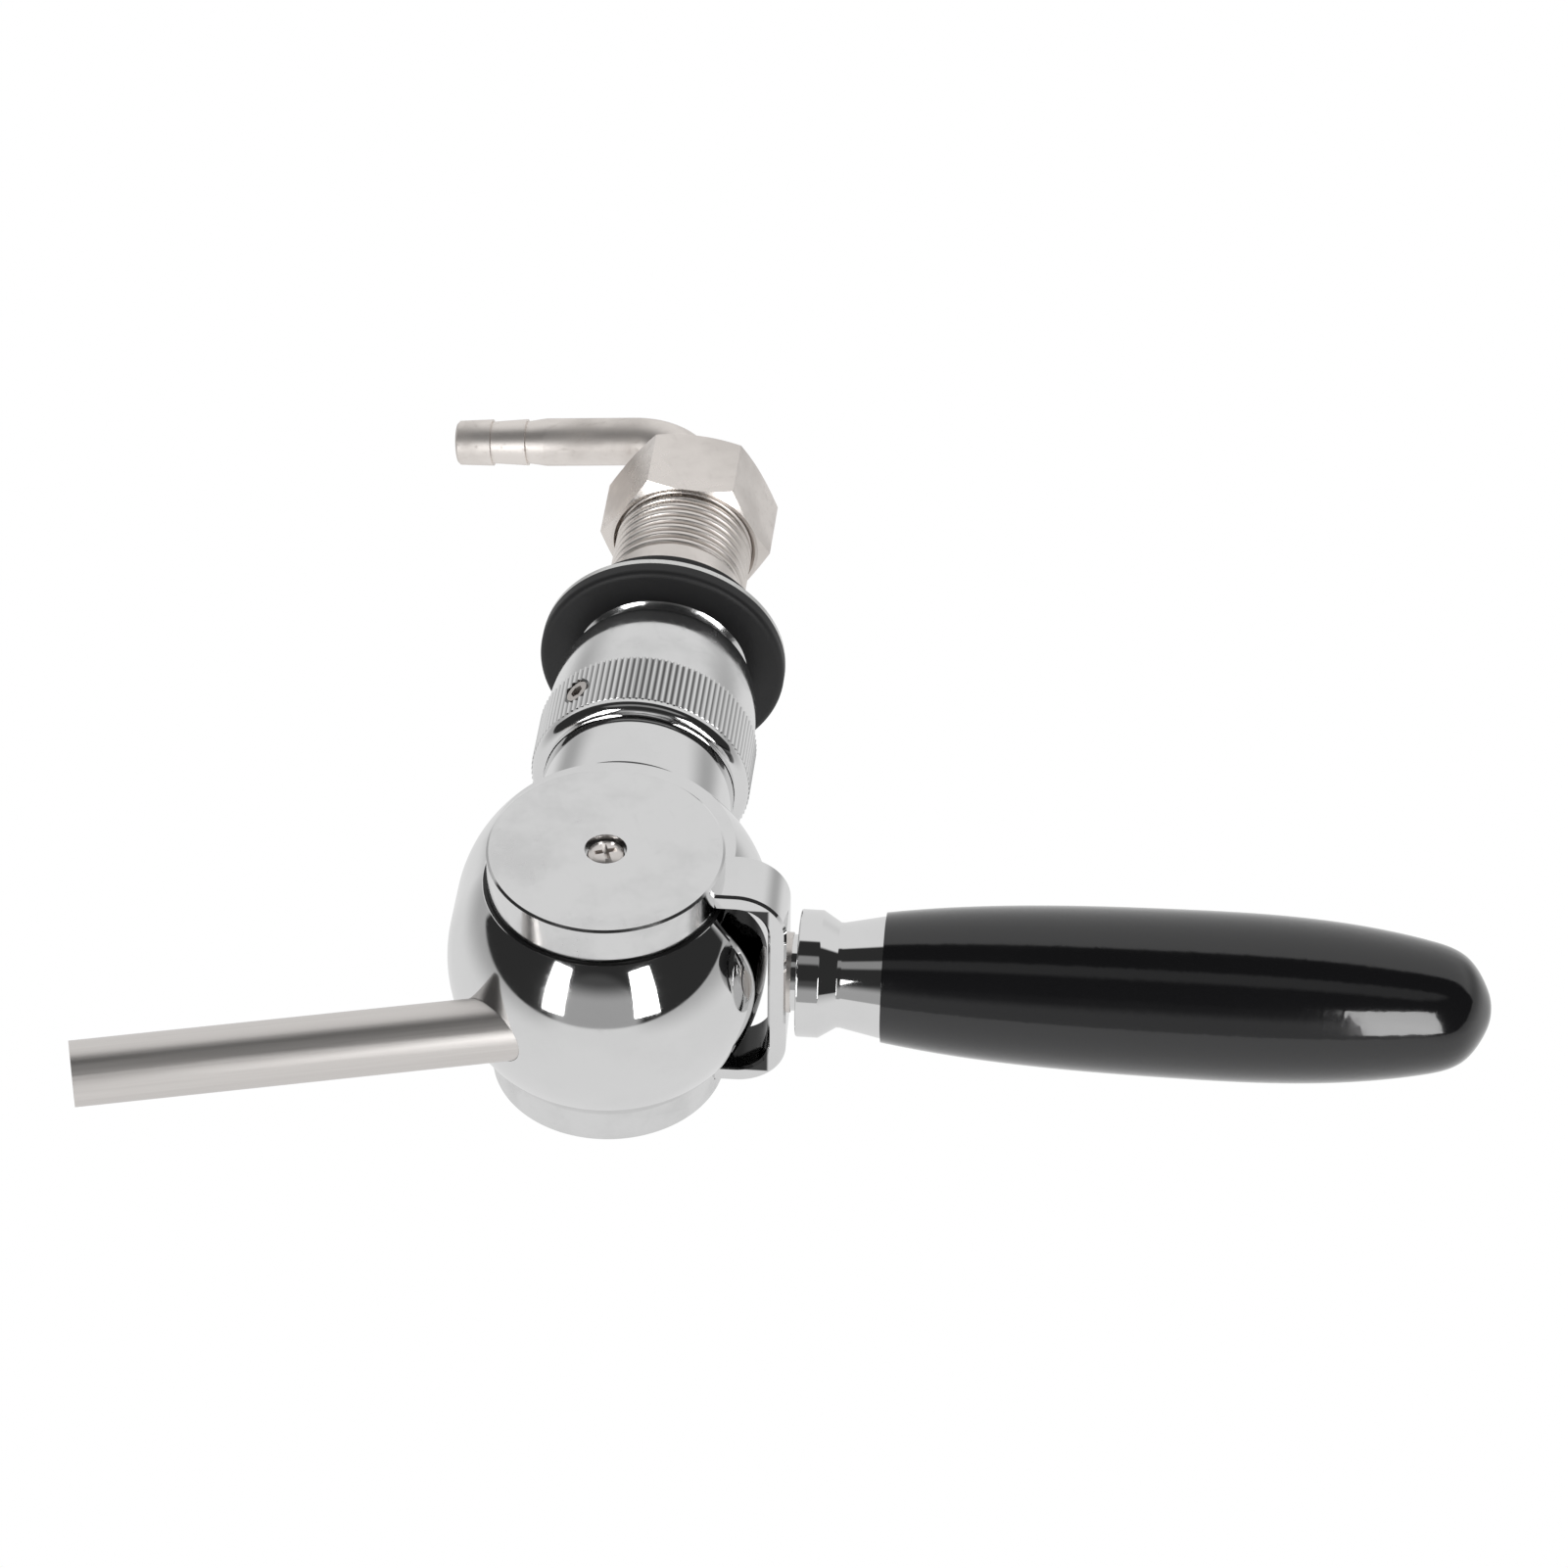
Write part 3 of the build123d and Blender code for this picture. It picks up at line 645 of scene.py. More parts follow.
def rounded_outline(corners: list[Corner], steps: int = 5) -> list[tuple[float, float]]:
    """Round an outline's corners with arcs.

    Args:
        corners: The closed outline's corners in order.
        steps: Pieces in each arc.

    Returns:
        Points of (radius, place).
    """
    points = []
    for index, corner in enumerate(corners):
        here = Vector((corner.radius, corner.place))
        if corner.rounding == 0.0:
            points.append(tuple(here))
            continue
        before, after = corners[index - 1], corners[(index + 1) % len(corners)]
        back = (Vector((before.radius, before.place)) - here).normalized()
        ahead = (Vector((after.radius, after.place)) - here).normalized()
        half = back.angle(ahead) / 2
        reach = corner.rounding / math.tan(half)
        centre = here + (back + ahead).normalized() * (corner.rounding / math.sin(half))
        start, stop = here + back * reach - centre, here + ahead * reach - centre
        for step in range(steps + 1):
            blend = start.lerp(stop, step / steps).normalized() * corner.rounding
            points.append(tuple(centre + blend))
    return points


def link(name: str, data: bpy.types.ID) -> bpy.types.Object:
    """Put a mesh, lamp or camera in the scene.

    Args:
        name: The new object's name.
        data: What it shows or does.

    Returns:
        The new object.
    """
    item = bpy.data.objects.new(name, data)
    bpy.context.scene.collection.objects.link(item)
    return item


def keep(
    name: str, mesh: bpy.types.Mesh, material: bpy.types.Material, crease: float = 35.0
) -> bpy.types.Object:
    """Put a finished mesh in the scene with one material, and log it.

    Args:
        name: The piece's name.
        mesh: Its mesh, in the tap's metres.
        material: Its finish.
        crease: Angle in degrees above which an edge stays sharp.

    Returns:
        The new object.
    """
    mesh.name = name
    mesh.materials.clear()
    mesh.materials.append(material)
    mesh.polygons.foreach_set("use_smooth", [True] * len(mesh.polygons))
    mesh.set_sharp_from_angle(angle=math.radians(crease))
    LOG.info("built %s with %d faces", name, len(mesh.polygons))
    return link(name, mesh)


def closed_mesh(name: str, build: bmesh.types.BMesh, matrix: Matrix) -> bpy.types.Mesh:
    """End a closed mesh under construction, with its faces pointing outwards.

    Args:
        name: The mesh's name.
        build: The mesh under construction, in millimetres.
        matrix: What it is moved and scaled by.

    Returns:
        The finished mesh.
    """
    bmesh.ops.recalc_face_normals(build, faces=build.faces)
    bmesh.ops.transform(build, matrix=matrix, verts=build.verts)
    mesh = bpy.data.meshes.new(name)
    build.to_mesh(mesh)
    build.free()
    return mesh


def bar(sections: list[list[tuple[float, float, float]]]) -> bmesh.types.BMesh:
    """Join sections with as many corners each into a closed bar.

    Args:
        sections: Each section's corners in order, in millimetres.

    Returns:
        The bar under construction.
    """
    build = bmesh.new()
    rings = [[build.verts.new(corner) for corner in section] for section in sections]
    for first, second in zip(rings, rings[1:]):
        for index in range(len(first)):
            following = (index + 1) % len(first)
            build.faces.new((first[index], first[following], second[following], second[index]))
    build.faces.new(reversed(rings[0]))
    build.faces.new(rings[-1])
    return build


def cut(solid: bpy.types.Mesh, cavities: list[bpy.types.Mesh]) -> bpy.types.Mesh:
    """Cut closed shapes out of a solid.

    Args:
        solid: The mesh that is cut.
        cavities: The shapes that are cut from it, in order.

    Returns:
        What is left, as a new mesh.
    """
    blank = link(solid.name, solid)
    cutters = [link(cavity.name, cavity) for cavity in cavities]
    for cutter in cutters:
        modifier = blank.modifiers.new(cutter.name, "BOOLEAN")
        modifier.operation = "DIFFERENCE"
        modifier.object = cutter
    bpy.context.view_layer.update()
    view = bpy.context.evaluated_depsgraph_get()
    mesh = bpy.data.meshes.new_from_object(blank.evaluated_get(view))
    for helper in (blank, *cutters):
        bpy.data.objects.remove(helper)
    return mesh


def turned_mesh(name: str, corners: list[Corner], axle: Axle, segments: int = 160) -> bpy.types.Mesh:
    """Turn a closed outline about an axle.

    Args:
        name: The mesh's name.
        corners: The outline, which may touch the axle.
        axle: The line it turns about.
        segments: Facets round the piece.

    Returns:
        A closed mesh whose faces point outwards.
    """
    points = rounded_outline(corners)
    build = bmesh.new()
    rings = []
    for turn in range(segments):
        angle = math.tau * turn / segments
        rings.append([build.verts.new((r * math.cos(angle), r * math.sin(angle), s)) for r, s in points])
    for turn, ring in enumerate(rings):
        beside = rings[(turn + 1) % segments]
        for index in range(len(points)):
            following = (index + 1) % len(points)
            if points[index][0] > 0 or points[following][0] > 0:
                build.faces.new((ring[index], beside[index], beside[following], ring[following]))
    bmesh.ops.remove_doubles(build, verts=build.verts, dist=0.0001)
    return closed_mesh(name, build, axle.matrix())


class GeometrySheet(NodeSheet):
    """A Geometry Nodes tree whose result is read back as a plain mesh."""

    def __init__(self, name: str, inputs: dict[str, tuple[str, object]]) -> None:
        """Start the tree.

        Args:
            name: The tree's name.
            inputs: Socket type and value by input name.
        """
        super().__init__(bpy.data.node_groups.new(name, "GeometryNodeTree"))
        self.name = name
        self.tree.interface.new_socket("Geometry", in_out="INPUT", socket_type="NodeSocketGeometry")
        self.values = {}
        for label, (kind, value) in inputs.items():
            socket = self.tree.interface.new_socket(label, in_out="INPUT", socket_type=kind)
            self.values[socket.identifier] = value
        self.tree.interface.new_socket("Geometry", in_out="OUTPUT", socket_type="NodeSocketGeometry")
        entry = self.add("NodeGroupInput")
        self.given = {s.name: s for s in entry.outputs}
        self.leave = self.add("NodeGroupOutput")

    def close(self, geometry: Socket) -> None:
        """End the tree with real geometry in the given material.

        Args:
            geometry: The finished shape.
        """
        real = self.add("GeometryNodeRealizeInstances", {0: geometry}).outputs[0]
        inputs = {"Geometry": real, "Material": self.given["Material"]}
        self.feed(self.leave.inputs[0], self.add("GeometryNodeSetMaterial", inputs).outputs[0])

    def grow(self, start: bpy.types.Mesh) -> bpy.types.Mesh:
        """Evaluate the tree once on a starting mesh.

        Args:
            start: The mesh that the tree is given.

        Returns:
            The result as a plain mesh.
        """
        seed = link(self.name + "_start", start)
        modifier = seed.modifiers.new(self.name, "NODES")
        modifier.node_group = self.tree
        for identifier, value in self.values.items():
            modifier[identifier] = value
        bpy.context.view_layer.update()
        view = bpy.context.evaluated_depsgraph_get()
        mesh = bpy.data.meshes.new_from_object(seed.evaluated_get(view))
        seed.modifiers.clear()
        bpy.data.objects.remove(seed)
        return mesh


SHANK_AXLE = Axle(Vector((0, 0, 0)), Vector((0, 1, 0)))


@dataclass
class Shank:
    """Tapered chrome head, plain neck and nickel pipe with its thread, in millimetres along +Y."""

    head_front: float = -26.55
    socket_radius: float = 11.95
    socket_floor: float = -17.95
    taper: tuple[tuple[float, float], ...] = (
        (17.3, -26.55), (17.15, -23.5), (16.9, -20.5), (16.6, -17.8), (16.25, -15.4), (15.85, -13.4),
        (15.2, -12.0),
    )
    waist_radius: float = 13.2
    waist_front: float = -11.6
    waist_back: float = -9.5
    rim_radius: float = 14.25
    flange_front: float = -8.85
    crest_radius: float = 11.456
    root_radius: float = 10.45
    plain_end: float = 9.2
    pipe_end: float = 26.9
    bore_radius: float = 5.0
    pitch: float = 1.814
    crest_share: float = 0.42
    root_share: float = 0.92
    ridge_rounding: float = 0.25
    run_out: float = 0.35
    steps_per_turn: int = 120

    def head(self, shop: Workshop) -> bpy.types.Object:
        """Turn the chrome head with its socket.

        Args:
            shop: The materials.

        Returns:
            The head.
        """
        corners = [
            Corner(self.bore_radius, self.socket_floor),
            Corner(self.socket_radius, self.socket_floor),
            Corner(self.socket_radius, self.head_front, 0.2),
            *(Corner(radius, place) for radius, place in self.taper),
            Corner(self.waist_radius, self.waist_front),
            Corner(self.waist_radius, self.waist_back),
            Corner(self.rim_radius, self.flange_front),
            Corner(self.bore_radius, self.flange_front),
        ]
        mesh = turned_mesh("shank_head", corners, SHANK_AXLE, 240)
        return keep("shank_head", mesh, shop.materials[CAP_CHROME.name])

    def pipe(self, shop: Workshop) -> bpy.types.Object:
        """Turn the pipe: plain behind the flange, at the thread's root beyond.

        Args:
            shop: The materials.

        Returns:
            The pipe.
        """
        corners = [
            Corner(self.bore_radius, self.flange_front),
            Corner(self.crest_radius, self.flange_front),
            Corner(self.crest_radius, self.plain_end, 0.2),
            Corner(self.root_radius, self.plain_end + 0.6),
            Corner(self.root_radius, self.pipe_end - 0.3, 0.2),
            Corner(self.root_radius - 0.5, self.pipe_end),
            Corner(self.bore_radius, self.pipe_end, 0.3),
        ]
        mesh = turned_mesh("shank_pipe", corners, SHANK_AXLE, 160)
        return keep("shank_pipe", mesh, shop.materials[SATIN_NICKEL.name])

    def thread(self, shop: Workshop) -> bpy.types.Object:
        """Wind one ridge round the pipe.

        Args:
            shop: The materials.

        Returns:
            The thread.
        """
        start = self.plain_end + 0.3
        stop = self.pipe_end - 0.9
        sheet = GeometrySheet(
            "spiral_thread",
            {
                "Root Radius": (NUMBER, self.root_radius - 0.1),
                "Depth": (NUMBER, self.crest_radius - self.root_radius + 0.1),
                "Pitch": (NUMBER, self.pitch),
                "Length": (NUMBER, stop - start),
                "Crest Share": (NUMBER, self.crest_share),
                "Root Share": (NUMBER, self.root_share),
                "Run Out": (NUMBER, self.run_out),
                "Material": ("NodeSocketMaterial", shop.materials[SATIN_NICKEL.name]),
            },
        )
        given = sheet.given
        turns = sheet.math("DIVIDE", given["Length"], given["Pitch"])
        spiral = sheet.add("GeometryNodeCurveSpiral", {
            "Resolution": self.steps_per_turn, "Rotations": turns, "Start Radius": given["Root Radius"],
            "End Radius": given["Root Radius"], "Height": given["Length"],
        })
        upright = sheet.add("GeometryNodeSetCurveNormal", {"Curve": spiral.outputs[0]}, mode="Z_UP")
        along = sheet.add("GeometryNodeSplineParameter").outputs["Factor"]
        travelled = sheet.math("MULTIPLY", sheet.math("PINGPONG", along, 0.5), turns)
        swell = sheet.clamp(sheet.math("DIVIDE", travelled, given["Run Out"]))
        section = sheet.add("GeometryNodeCurvePrimitiveQuadrilateral", {
            "Bottom Width": sheet.math("MULTIPLY", given["Pitch"], given["Root Share"]),
            "Top Width": sheet.math("MULTIPLY", given["Pitch"], given["Crest Share"]),
            "Height": given["Depth"], "Offset": 0.0,
        }, mode="TRAPEZOID")
        rise = sheet.add("ShaderNodeCombineXYZ", {"Y": sheet.math("MULTIPLY", given["Depth"], 0.5)})
        lifted = sheet.add(
            "GeometryNodeTransform", {"Geometry": section.outputs[0], "Translation": rise.outputs[0]}
        )
        soft = sheet.add("GeometryNodeFilletCurve", {
            "Curve": lifted.outputs[0], "Count": 3, "Radius": self.ridge_rounding, "Limit Radius": True,
        }, mode="POLY")
        outwards = (0.0, 0.0, math.radians(90))
        turned = sheet.add("GeometryNodeTransform", {"Geometry": soft.outputs[0], "Rotation": outwards})
        ridge = sheet.add("GeometryNodeCurveToMesh", {
            "Curve": upright.outputs[0], "Profile Curve": turned.outputs[0], "Scale": swell,
            "Fill Caps": True,
        })
        sheet.close(ridge.outputs[0])
        mesh = sheet.grow(bpy.data.meshes.new("thread_seed"))
        mesh.transform(Matrix.Translation((0, start * MM, 0)) @ SHANK_AXLE.matrix())
        return keep("shank_thread", mesh, shop.materials[SATIN_NICKEL.name], 60.0)

    def build(self, shop: Workshop) -> None:
        """Build the shank and hand its pieces to the base.

        Args:
            shop: The materials.
        """
        head, pipe, thread = self.head(shop), self.pipe(shop), self.thread(shop)
        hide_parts("shank")
        for piece in (head, pipe, thread):
            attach(piece, Body.BASE.value)


@dataclass
class BackingWasher:
    """Thin pale washer whose rim shows behind the flange, in millimetres."""

    radius: float = 20.15
    bore_radius: float = 11.556
    rounding: float = 0.2

    def build(self, shop: Workshop) -> None:
        """Turn the washer and hand it to the base.

        Args:
            shop: The materials.
        """
        low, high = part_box("backing_washer")
        front, back = low[1] / MM, high[1] / MM
        corners = [
            Corner(self.bore_radius, front, self.rounding), Corner(self.radius, front, self.rounding),
            Corner(self.radius, back, self.rounding), Corner(self.bore_radius, back, self.rounding),
        ]
        mesh = turned_mesh("pale_washer", corners, SHANK_AXLE, 200)
        washer = keep("pale_washer", mesh, shop.materials[WASHER_STEEL.name])
        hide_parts("backing_washer")
        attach(washer, Body.BASE.value)


@dataclass
class CapScrews:
    """Two pan screws with a cross recess, one sunk in each cap, in millimetres from the pivot."""

    middle: Vector
    seat: float = 20.86
    head_radius: float = 2.95
    head_height: float = 1.5
    stem_radius: float = 1.95
    stem_length: float = 9.0
    cross_reach: float = 3.5
    cross_width: float = 0.8
    cross_depth: float = 1.3
    cross_turn: float = math.radians(20)

    def blade(self, turn: float) -> bpy.types.Mesh:
        """Make one tapered bar of the cross, for cutting.

        Args:
            turn: Its angle about the screw.

        Returns:
            The bar in millimetres.
        """
        top = (self.head_height + 0.2, self.cross_reach + 0.3, self.cross_width + 0.08)
        floor = (self.head_height - self.cross_depth, self.cross_reach * 0.4, self.cross_width * 0.6)
        square = ((-1, -1), (1, -1), (1, 1), (-1, 1))
        build = bar([
            [(x * length / 2, y * width / 2, level) for x, y in square] for level, length, width in (top, floor)
        ])
        return closed_mesh("cross_cutter", build, Matrix.Rotation(turn, 4, "Z"))

    def screw_mesh(self) -> bpy.types.Mesh:
        """Turn one screw and cut its cross.

        Returns:
            The screw's mesh in millimetres, standing along Z.
        """
        corners = [
            Corner(0.0, self.head_height),
            Corner(1.7, self.head_height - 0.03),
            Corner(2.75, self.head_height - 0.42, 0.5),
            Corner(self.head_radius, 0.55, 0.2),
            Corner(self.head_radius, 0.0, 0.1),
            Corner(self.stem_radius, 0.0),
            Corner(self.stem_radius, -self.stem_length + 0.3),
            Corner(self.stem_radius - 0.3, -self.stem_length),
            Corner(0.0, -self.stem_length),
        ]
        upright = Axle(Vector((0, 0, 0)), Vector((0, 0, 1)))
        mesh = turned_mesh("pan_screw", corners, upright, 96)
        mesh.transform(Matrix.Scale(1 / MM, 4))
        return cut(mesh, [self.blade(self.cross_turn + math.pi / 2 * side) for side in (0, 1)])

    def build(self, shop: Workshop) -> None:
        """Set a screw in each cap and hand both to the lever.

        Args:
            shop: The materials.
        """
        sheet = GeometrySheet(
            "paired_screws",
            {
                "Seat": (NUMBER, self.seat),
                "Material": ("NodeSocketMaterial", shop.materials[SCREW_STEEL.name]),
            },
        )
        sides = sheet.add("GeometryNodeJoinGeometry")
        for side in (-1, 1):
            seat = sheet.math("MULTIPLY", sheet.given["Seat"], side)
            place = sheet.add("ShaderNodeCombineXYZ", {"X": seat})
            point = sheet.add("GeometryNodePoints", {"Position": place.outputs[0]})
            screw = sheet.add("GeometryNodeInstanceOnPoints", {
                "Points": point.outputs[0], "Instance": sheet.given["Geometry"],
                "Rotation": (0.0, side * math.radians(90), 0.0),
            })
            sheet.feed(sides.inputs[0], screw.outputs[0])
        sheet.close(sides.outputs[0])
        mesh = sheet.grow(self.screw_mesh())
        mesh.transform(Matrix.Translation(self.middle) @ Matrix.Scale(MM, 4))
        screws = keep("cross_screws", mesh, shop.materials[SCREW_STEEL.name], 30.0)
        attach(screws, Body.LEVER.value)
        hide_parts("cap_screws")


@dataclass
class Ferrule:
    """Chrome collar under the grip, in millimetres up the leaning lever from the pivot."""

    pivot: Vector
    lean: float = LEVER_LEAN
    handle_offset: float = -1.6
    bore_radius: float = 4.05
    start: float = 30.2
    collar_radius: float = 10.0
    collar_length: float = 3.5
    bevel_length: float = 2.8
    waist_radius: float = 8.25
    waist_length: float = 0.6
    flare_length: float = 6.45
    rim_radius: float = 9.6
    edge: float = 0.3

    def axle(self) -> Axle:
        """Find the handle's own line.

        Returns:
            The line up the handle.
        """
        lean = math.radians(self.lean)
        back = Vector((0.0, math.cos(lean), -math.sin(lean)))
        up = Vector((0.0, math.sin(lean), math.cos(lean)))
        return Axle(self.pivot + back * (self.handle_offset * MM), up)

    def build(self, shop: Workshop) -> None:
        """Turn the ferrule and hand it to the lever.

        Args:
            shop: The materials.
        """
        bevel = self.start + self.collar_length
        waist = bevel + self.bevel_length
        flare = waist + self.waist_length
        top = flare + self.flare_length
        corners = [
            Corner(self.bore_radius, self.start), Corner(self.collar_radius, self.start, self.edge),
            Corner(self.collar_radius, bevel, self.edge), Corner(self.waist_radius, waist, 0.15),
            Corner(self.waist_radius, flare, 0.15), Corner(self.rim_radius, top, 0.12),
            Corner(self.bore_radius, top),
        ]
        mesh = turned_mesh("turned_ferrule", corners, self.axle(), 256)
        ferrule = keep("turned_ferrule", mesh, shop.materials[CHROME.name], 25.0)
        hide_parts("ferrule")
        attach(ferrule, Body.LEVER.value)


@dataclass
class BallBody:
    """Ball turned about the shank with two flats for the caps, its neck, sleeve and spigot, in millimetres."""

    pivot_y: float = -77.6
    radius: float = 25.1
    full_length: float = 8.0
    half_width: float = 16.1
    neck_radius: float = 15.5
    neck_start: float = -49.5
    joint_width: float = 0.9
    joint_depth: float = 1.3
    neck_shoulder: float = -36.75
    sleeve_radius: float = 12.5
    head_front: float = -26.55
    spigot_radius: float = 11.9
    spigot_end: float = -19.55
    seal_places: tuple[float, float] = (-34.95, -28.35)
    seal_floor: float = 10.55
    groove_width: float = 2.2
    rotor_bore: float = 12.0
    seat_radius: float = 7.05
    seat_back: float = -63.0
    seat_bore: float = 4.2
    throat_y: float = -60.6
    throat_radius: float = 4.6
    chamber_y: float = -44.6
    chamber_radius: float = 8.0
    slot_y: float = -31.65
    slot_half_width: float = 1.6
    slot_middle: float = -128.5
    slot_reach: float = 51.5
    slot_inside: float = 6.5
    slot_outside: float = 13.5
    slot_steps: int = 40
    key_width: float = 2.2
    key_top: float = 9.05
    spout_lean: float = SPOUT_LEAN
    spout_offset: float = 13.8
    channel_radius: float = 4.0
    channel_top: float = 5.0
    spout_seat: float = 8.7
    socket_radius: float = 5.2
    seal_groove_radius: float = 7.15
    seal_groove_place: float = 11.7
    cap_radius: float = 18.5
    cap_overlap: float = 0.1
    rim_step: float = 1.0
    rim_shadow: float = 0.12
    black_ring_overlap: float = 0.08
    black_ring_gap: float = 0.02
    black_ring_sink: float = 0.15
    cutter_margin: float = 5.0
    arc_steps: int = 28
    round_within: float = 0.03
    round_alike: float = 0.99

    def shell(self) -> bpy.types.Mesh:
        """Turn the outside: round front, full middle, round back, joint line, neck, sleeve and spigot.

        Returns:
            The solid outside.
        """
        corners = []
        for step in range(self.arc_steps + 1):
            angle = math.radians(90) * step / self.arc_steps
            corners.append(Corner(self.radius * math.sin(angle), self.pivot_y - self.radius * math.cos(angle)))
        back_y = self.pivot_y + self.full_length
        last = math.acos(self.neck_radius / self.radius)
        for step in range(self.arc_steps + 1):
            angle = last * step / self.arc_steps
            corners.append(Corner(self.radius * math.cos(angle), back_y + self.radius * math.sin(angle)))
        joint = self.neck_start - self.joint_width
        corners += [
            Corner(self.neck_radius, joint, 0.2),
            Corner(self.neck_radius - self.joint_depth, joint),
            Corner(self.neck_radius - self.joint_depth, self.neck_start),
            Corner(self.neck_radius, self.neck_start, 0.25),
            Corner(self.neck_radius, self.neck_shoulder, 0.2),
            Corner(self.sleeve_radius, self.neck_shoulder),
        ]
        for place in self.seal_places:
            near, far = place - self.groove_width / 2, place + self.groove_width / 2
            corners += [
                Corner(self.sleeve_radius, near), Corner(self.seal_floor, near),
                Corner(self.seal_floor, far), Corner(self.sleeve_radius, far),
            ]
        corners += [
            Corner(self.sleeve_radius, self.head_front), Corner(self.spigot_radius, self.head_front),
            Corner(self.spigot_radius, self.spigot_end), Corner(0.0, self.spigot_end),
        ]
        return turned_mesh("ball_shell", corners, SHANK_AXLE, 240)

    def cavities(self) -> list[bpy.types.Mesh]:
        """Shapes that are cut from the shell.

        Returns:
            Closed meshes: chamber, seat pocket, rotor bore, spout socket, flats, screw slot and keyway.
        """
        far = self.radius + self.cutter_margin
        chamber = turned_mesh("chamber", [
            Corner(0.0, self.pivot_y), Corner(self.seat_radius, self.pivot_y),
            Corner(self.seat_radius, self.seat_back), Corner(self.seat_bore, self.seat_back),
            Corner(self.seat_bore, self.throat_y), Corner(self.throat_radius, self.throat_y),
            Corner(self.chamber_radius, self.chamber_y), Corner(self.chamber_radius, self.spigot_end + 1),
            Corner(0.0, self.spigot_end + 1),
        ], SHANK_AXLE, 96)
        pivot = self.pivot_axle()
        bore = turned_mesh("rotor_bore", [
            Corner(0.0, -far), Corner(self.rotor_bore, -far), Corner(self.rotor_bore, far), Corner(0.0, far),
        ], pivot, 160)
        flats = []
        groove = self.cap_radius - self.cap_overlap
        for side in (-1, 1):
            flats.append(turned_mesh("flat", [
                Corner(0.0, side * self.half_width), Corner(groove, side * self.half_width),
                Corner(groove, side * (self.half_width - self.rim_step)),
                Corner(self.rim_radius(), side * (self.half_width - self.rim_step)),
                Corner(self.rim_radius(), side * self.half_width),
                Corner(2 * far, side * self.half_width), Corner(2 * far, side * far), Corner(0.0, side * far),
            ], pivot, 240))
        lean = math.radians(self.spout_lean)
        front, rise = self.spout_offset * math.cos(lean), self.spout_offset * math.sin(lean)
        foot = Vector((0, self.pivot_y - front, rise))
        spout = Axle(foot * MM, Vector((0, -math.sin(lean), -math.cos(lean))))
        near, past = (self.seal_groove_place + side * self.groove_width / 2 for side in (-1, 1))
        socket = turned_mesh("spout_socket", [
            Corner(0.0, -self.channel_top), Corner(self.channel_radius, -self.channel_top),
            Corner(self.channel_radius, self.spout_seat), Corner(self.socket_radius, self.spout_seat),
            Corner(self.socket_radius, near), Corner(self.seal_groove_radius, near),
            Corner(self.seal_groove_radius, past), Corner(self.socket_radius, past),
            Corner(self.socket_radius, far), Corner(0.0, far),
        ], spout, 128)
        return [chamber, bore, *flats, socket, self.slot(), self.keyway()]

    def pivot_axle(self) -> Axle:
        """Find the line that the rotor turns about.

        Returns:
            The crosswise line through the ball.
        """
        return Axle(Vector((0, self.pivot_y * MM, 0)), Vector((1, 0, 0)))

    def rim_radius(self) -> float:
        """Radius of the thin ring of shadow round each cap.

        Returns:
            The radius in millimetres.
        """
        return math.sqrt(self.radius ** 2 - self.half_width ** 2) - self.rim_shadow

    def slot(self) -> bpy.types.Mesh:
        """Arc-shaped slot that the ring's screw passes through.

        Returns:
            The closed cutter.
        """
        near, far = self.slot_y - self.slot_half_width, self.slot_y + self.slot_half_width
        low, high = self.slot_inside, self.slot_outside
        sections = []
        for step in range(self.slot_steps + 1):
            angle = math.radians(self.slot_middle + self.slot_reach * (2 * step / self.slot_steps - 1))
            sections.append([
                (radius * math.sin(angle), place, radius * math.cos(angle))
                for radius, place in ((low, near), (high, near), (high, far), (low, far))
            ])
        return closed_mesh("screw_slot", bar(sections), Matrix.Scale(MM, 4))

    def keyway(self) -> bpy.types.Mesh:
        """Straight keyway of the flow plug, opposite the screw.

        Returns:
            The closed cutter.
        """
        turn = math.radians(self.slot_middle + 180)
        build = bmesh.new()
        bmesh.ops.create_cube(build, size=1.0)
        long = self.spigot_end + 1 - self.chamber_y
        bmesh.ops.scale(build, vec=(self.key_width, long, self.key_top), verts=build.verts)
        bmesh.ops.translate(build, vec=(0, self.chamber_y + long / 2, self.key_top / 2), verts=build.verts)
        bmesh.ops.rotate(build, cent=(0, 0, 0), matrix=Matrix.Rotation(turn, 3, "Y"), verts=build.verts)
        return closed_mesh("keyway", build, Matrix.Scale(MM, 4))

    def polish(self, mesh: bpy.types.Mesh) -> None:
        """Give the round outside its exact normals, so that reflections run smoothly over the cut mesh.

        Args:
            mesh: The finished ball.
        """
        axis_y = self.pivot_y * MM
        back_y = axis_y + self.full_length * MM
        radius = self.radius * MM
        normals = [Vector(corner.vector) for corner in mesh.corner_normals]
        for face in mesh.polygons:
            for loop in face.loop_indices:
                point = mesh.vertices[mesh.loops[loop].vertex_index].co
                centre = Vector((0, min(max(point.y, axis_y), back_y), 0))
                away = point - centre
                outwards = away.normalized()
                near = abs(away.length - radius) < self.round_within * MM
                if near and outwards.dot(face.normal) > self.round_alike:
                    normals[loop] = outwards
        mesh.normals_split_custom_set(normals)

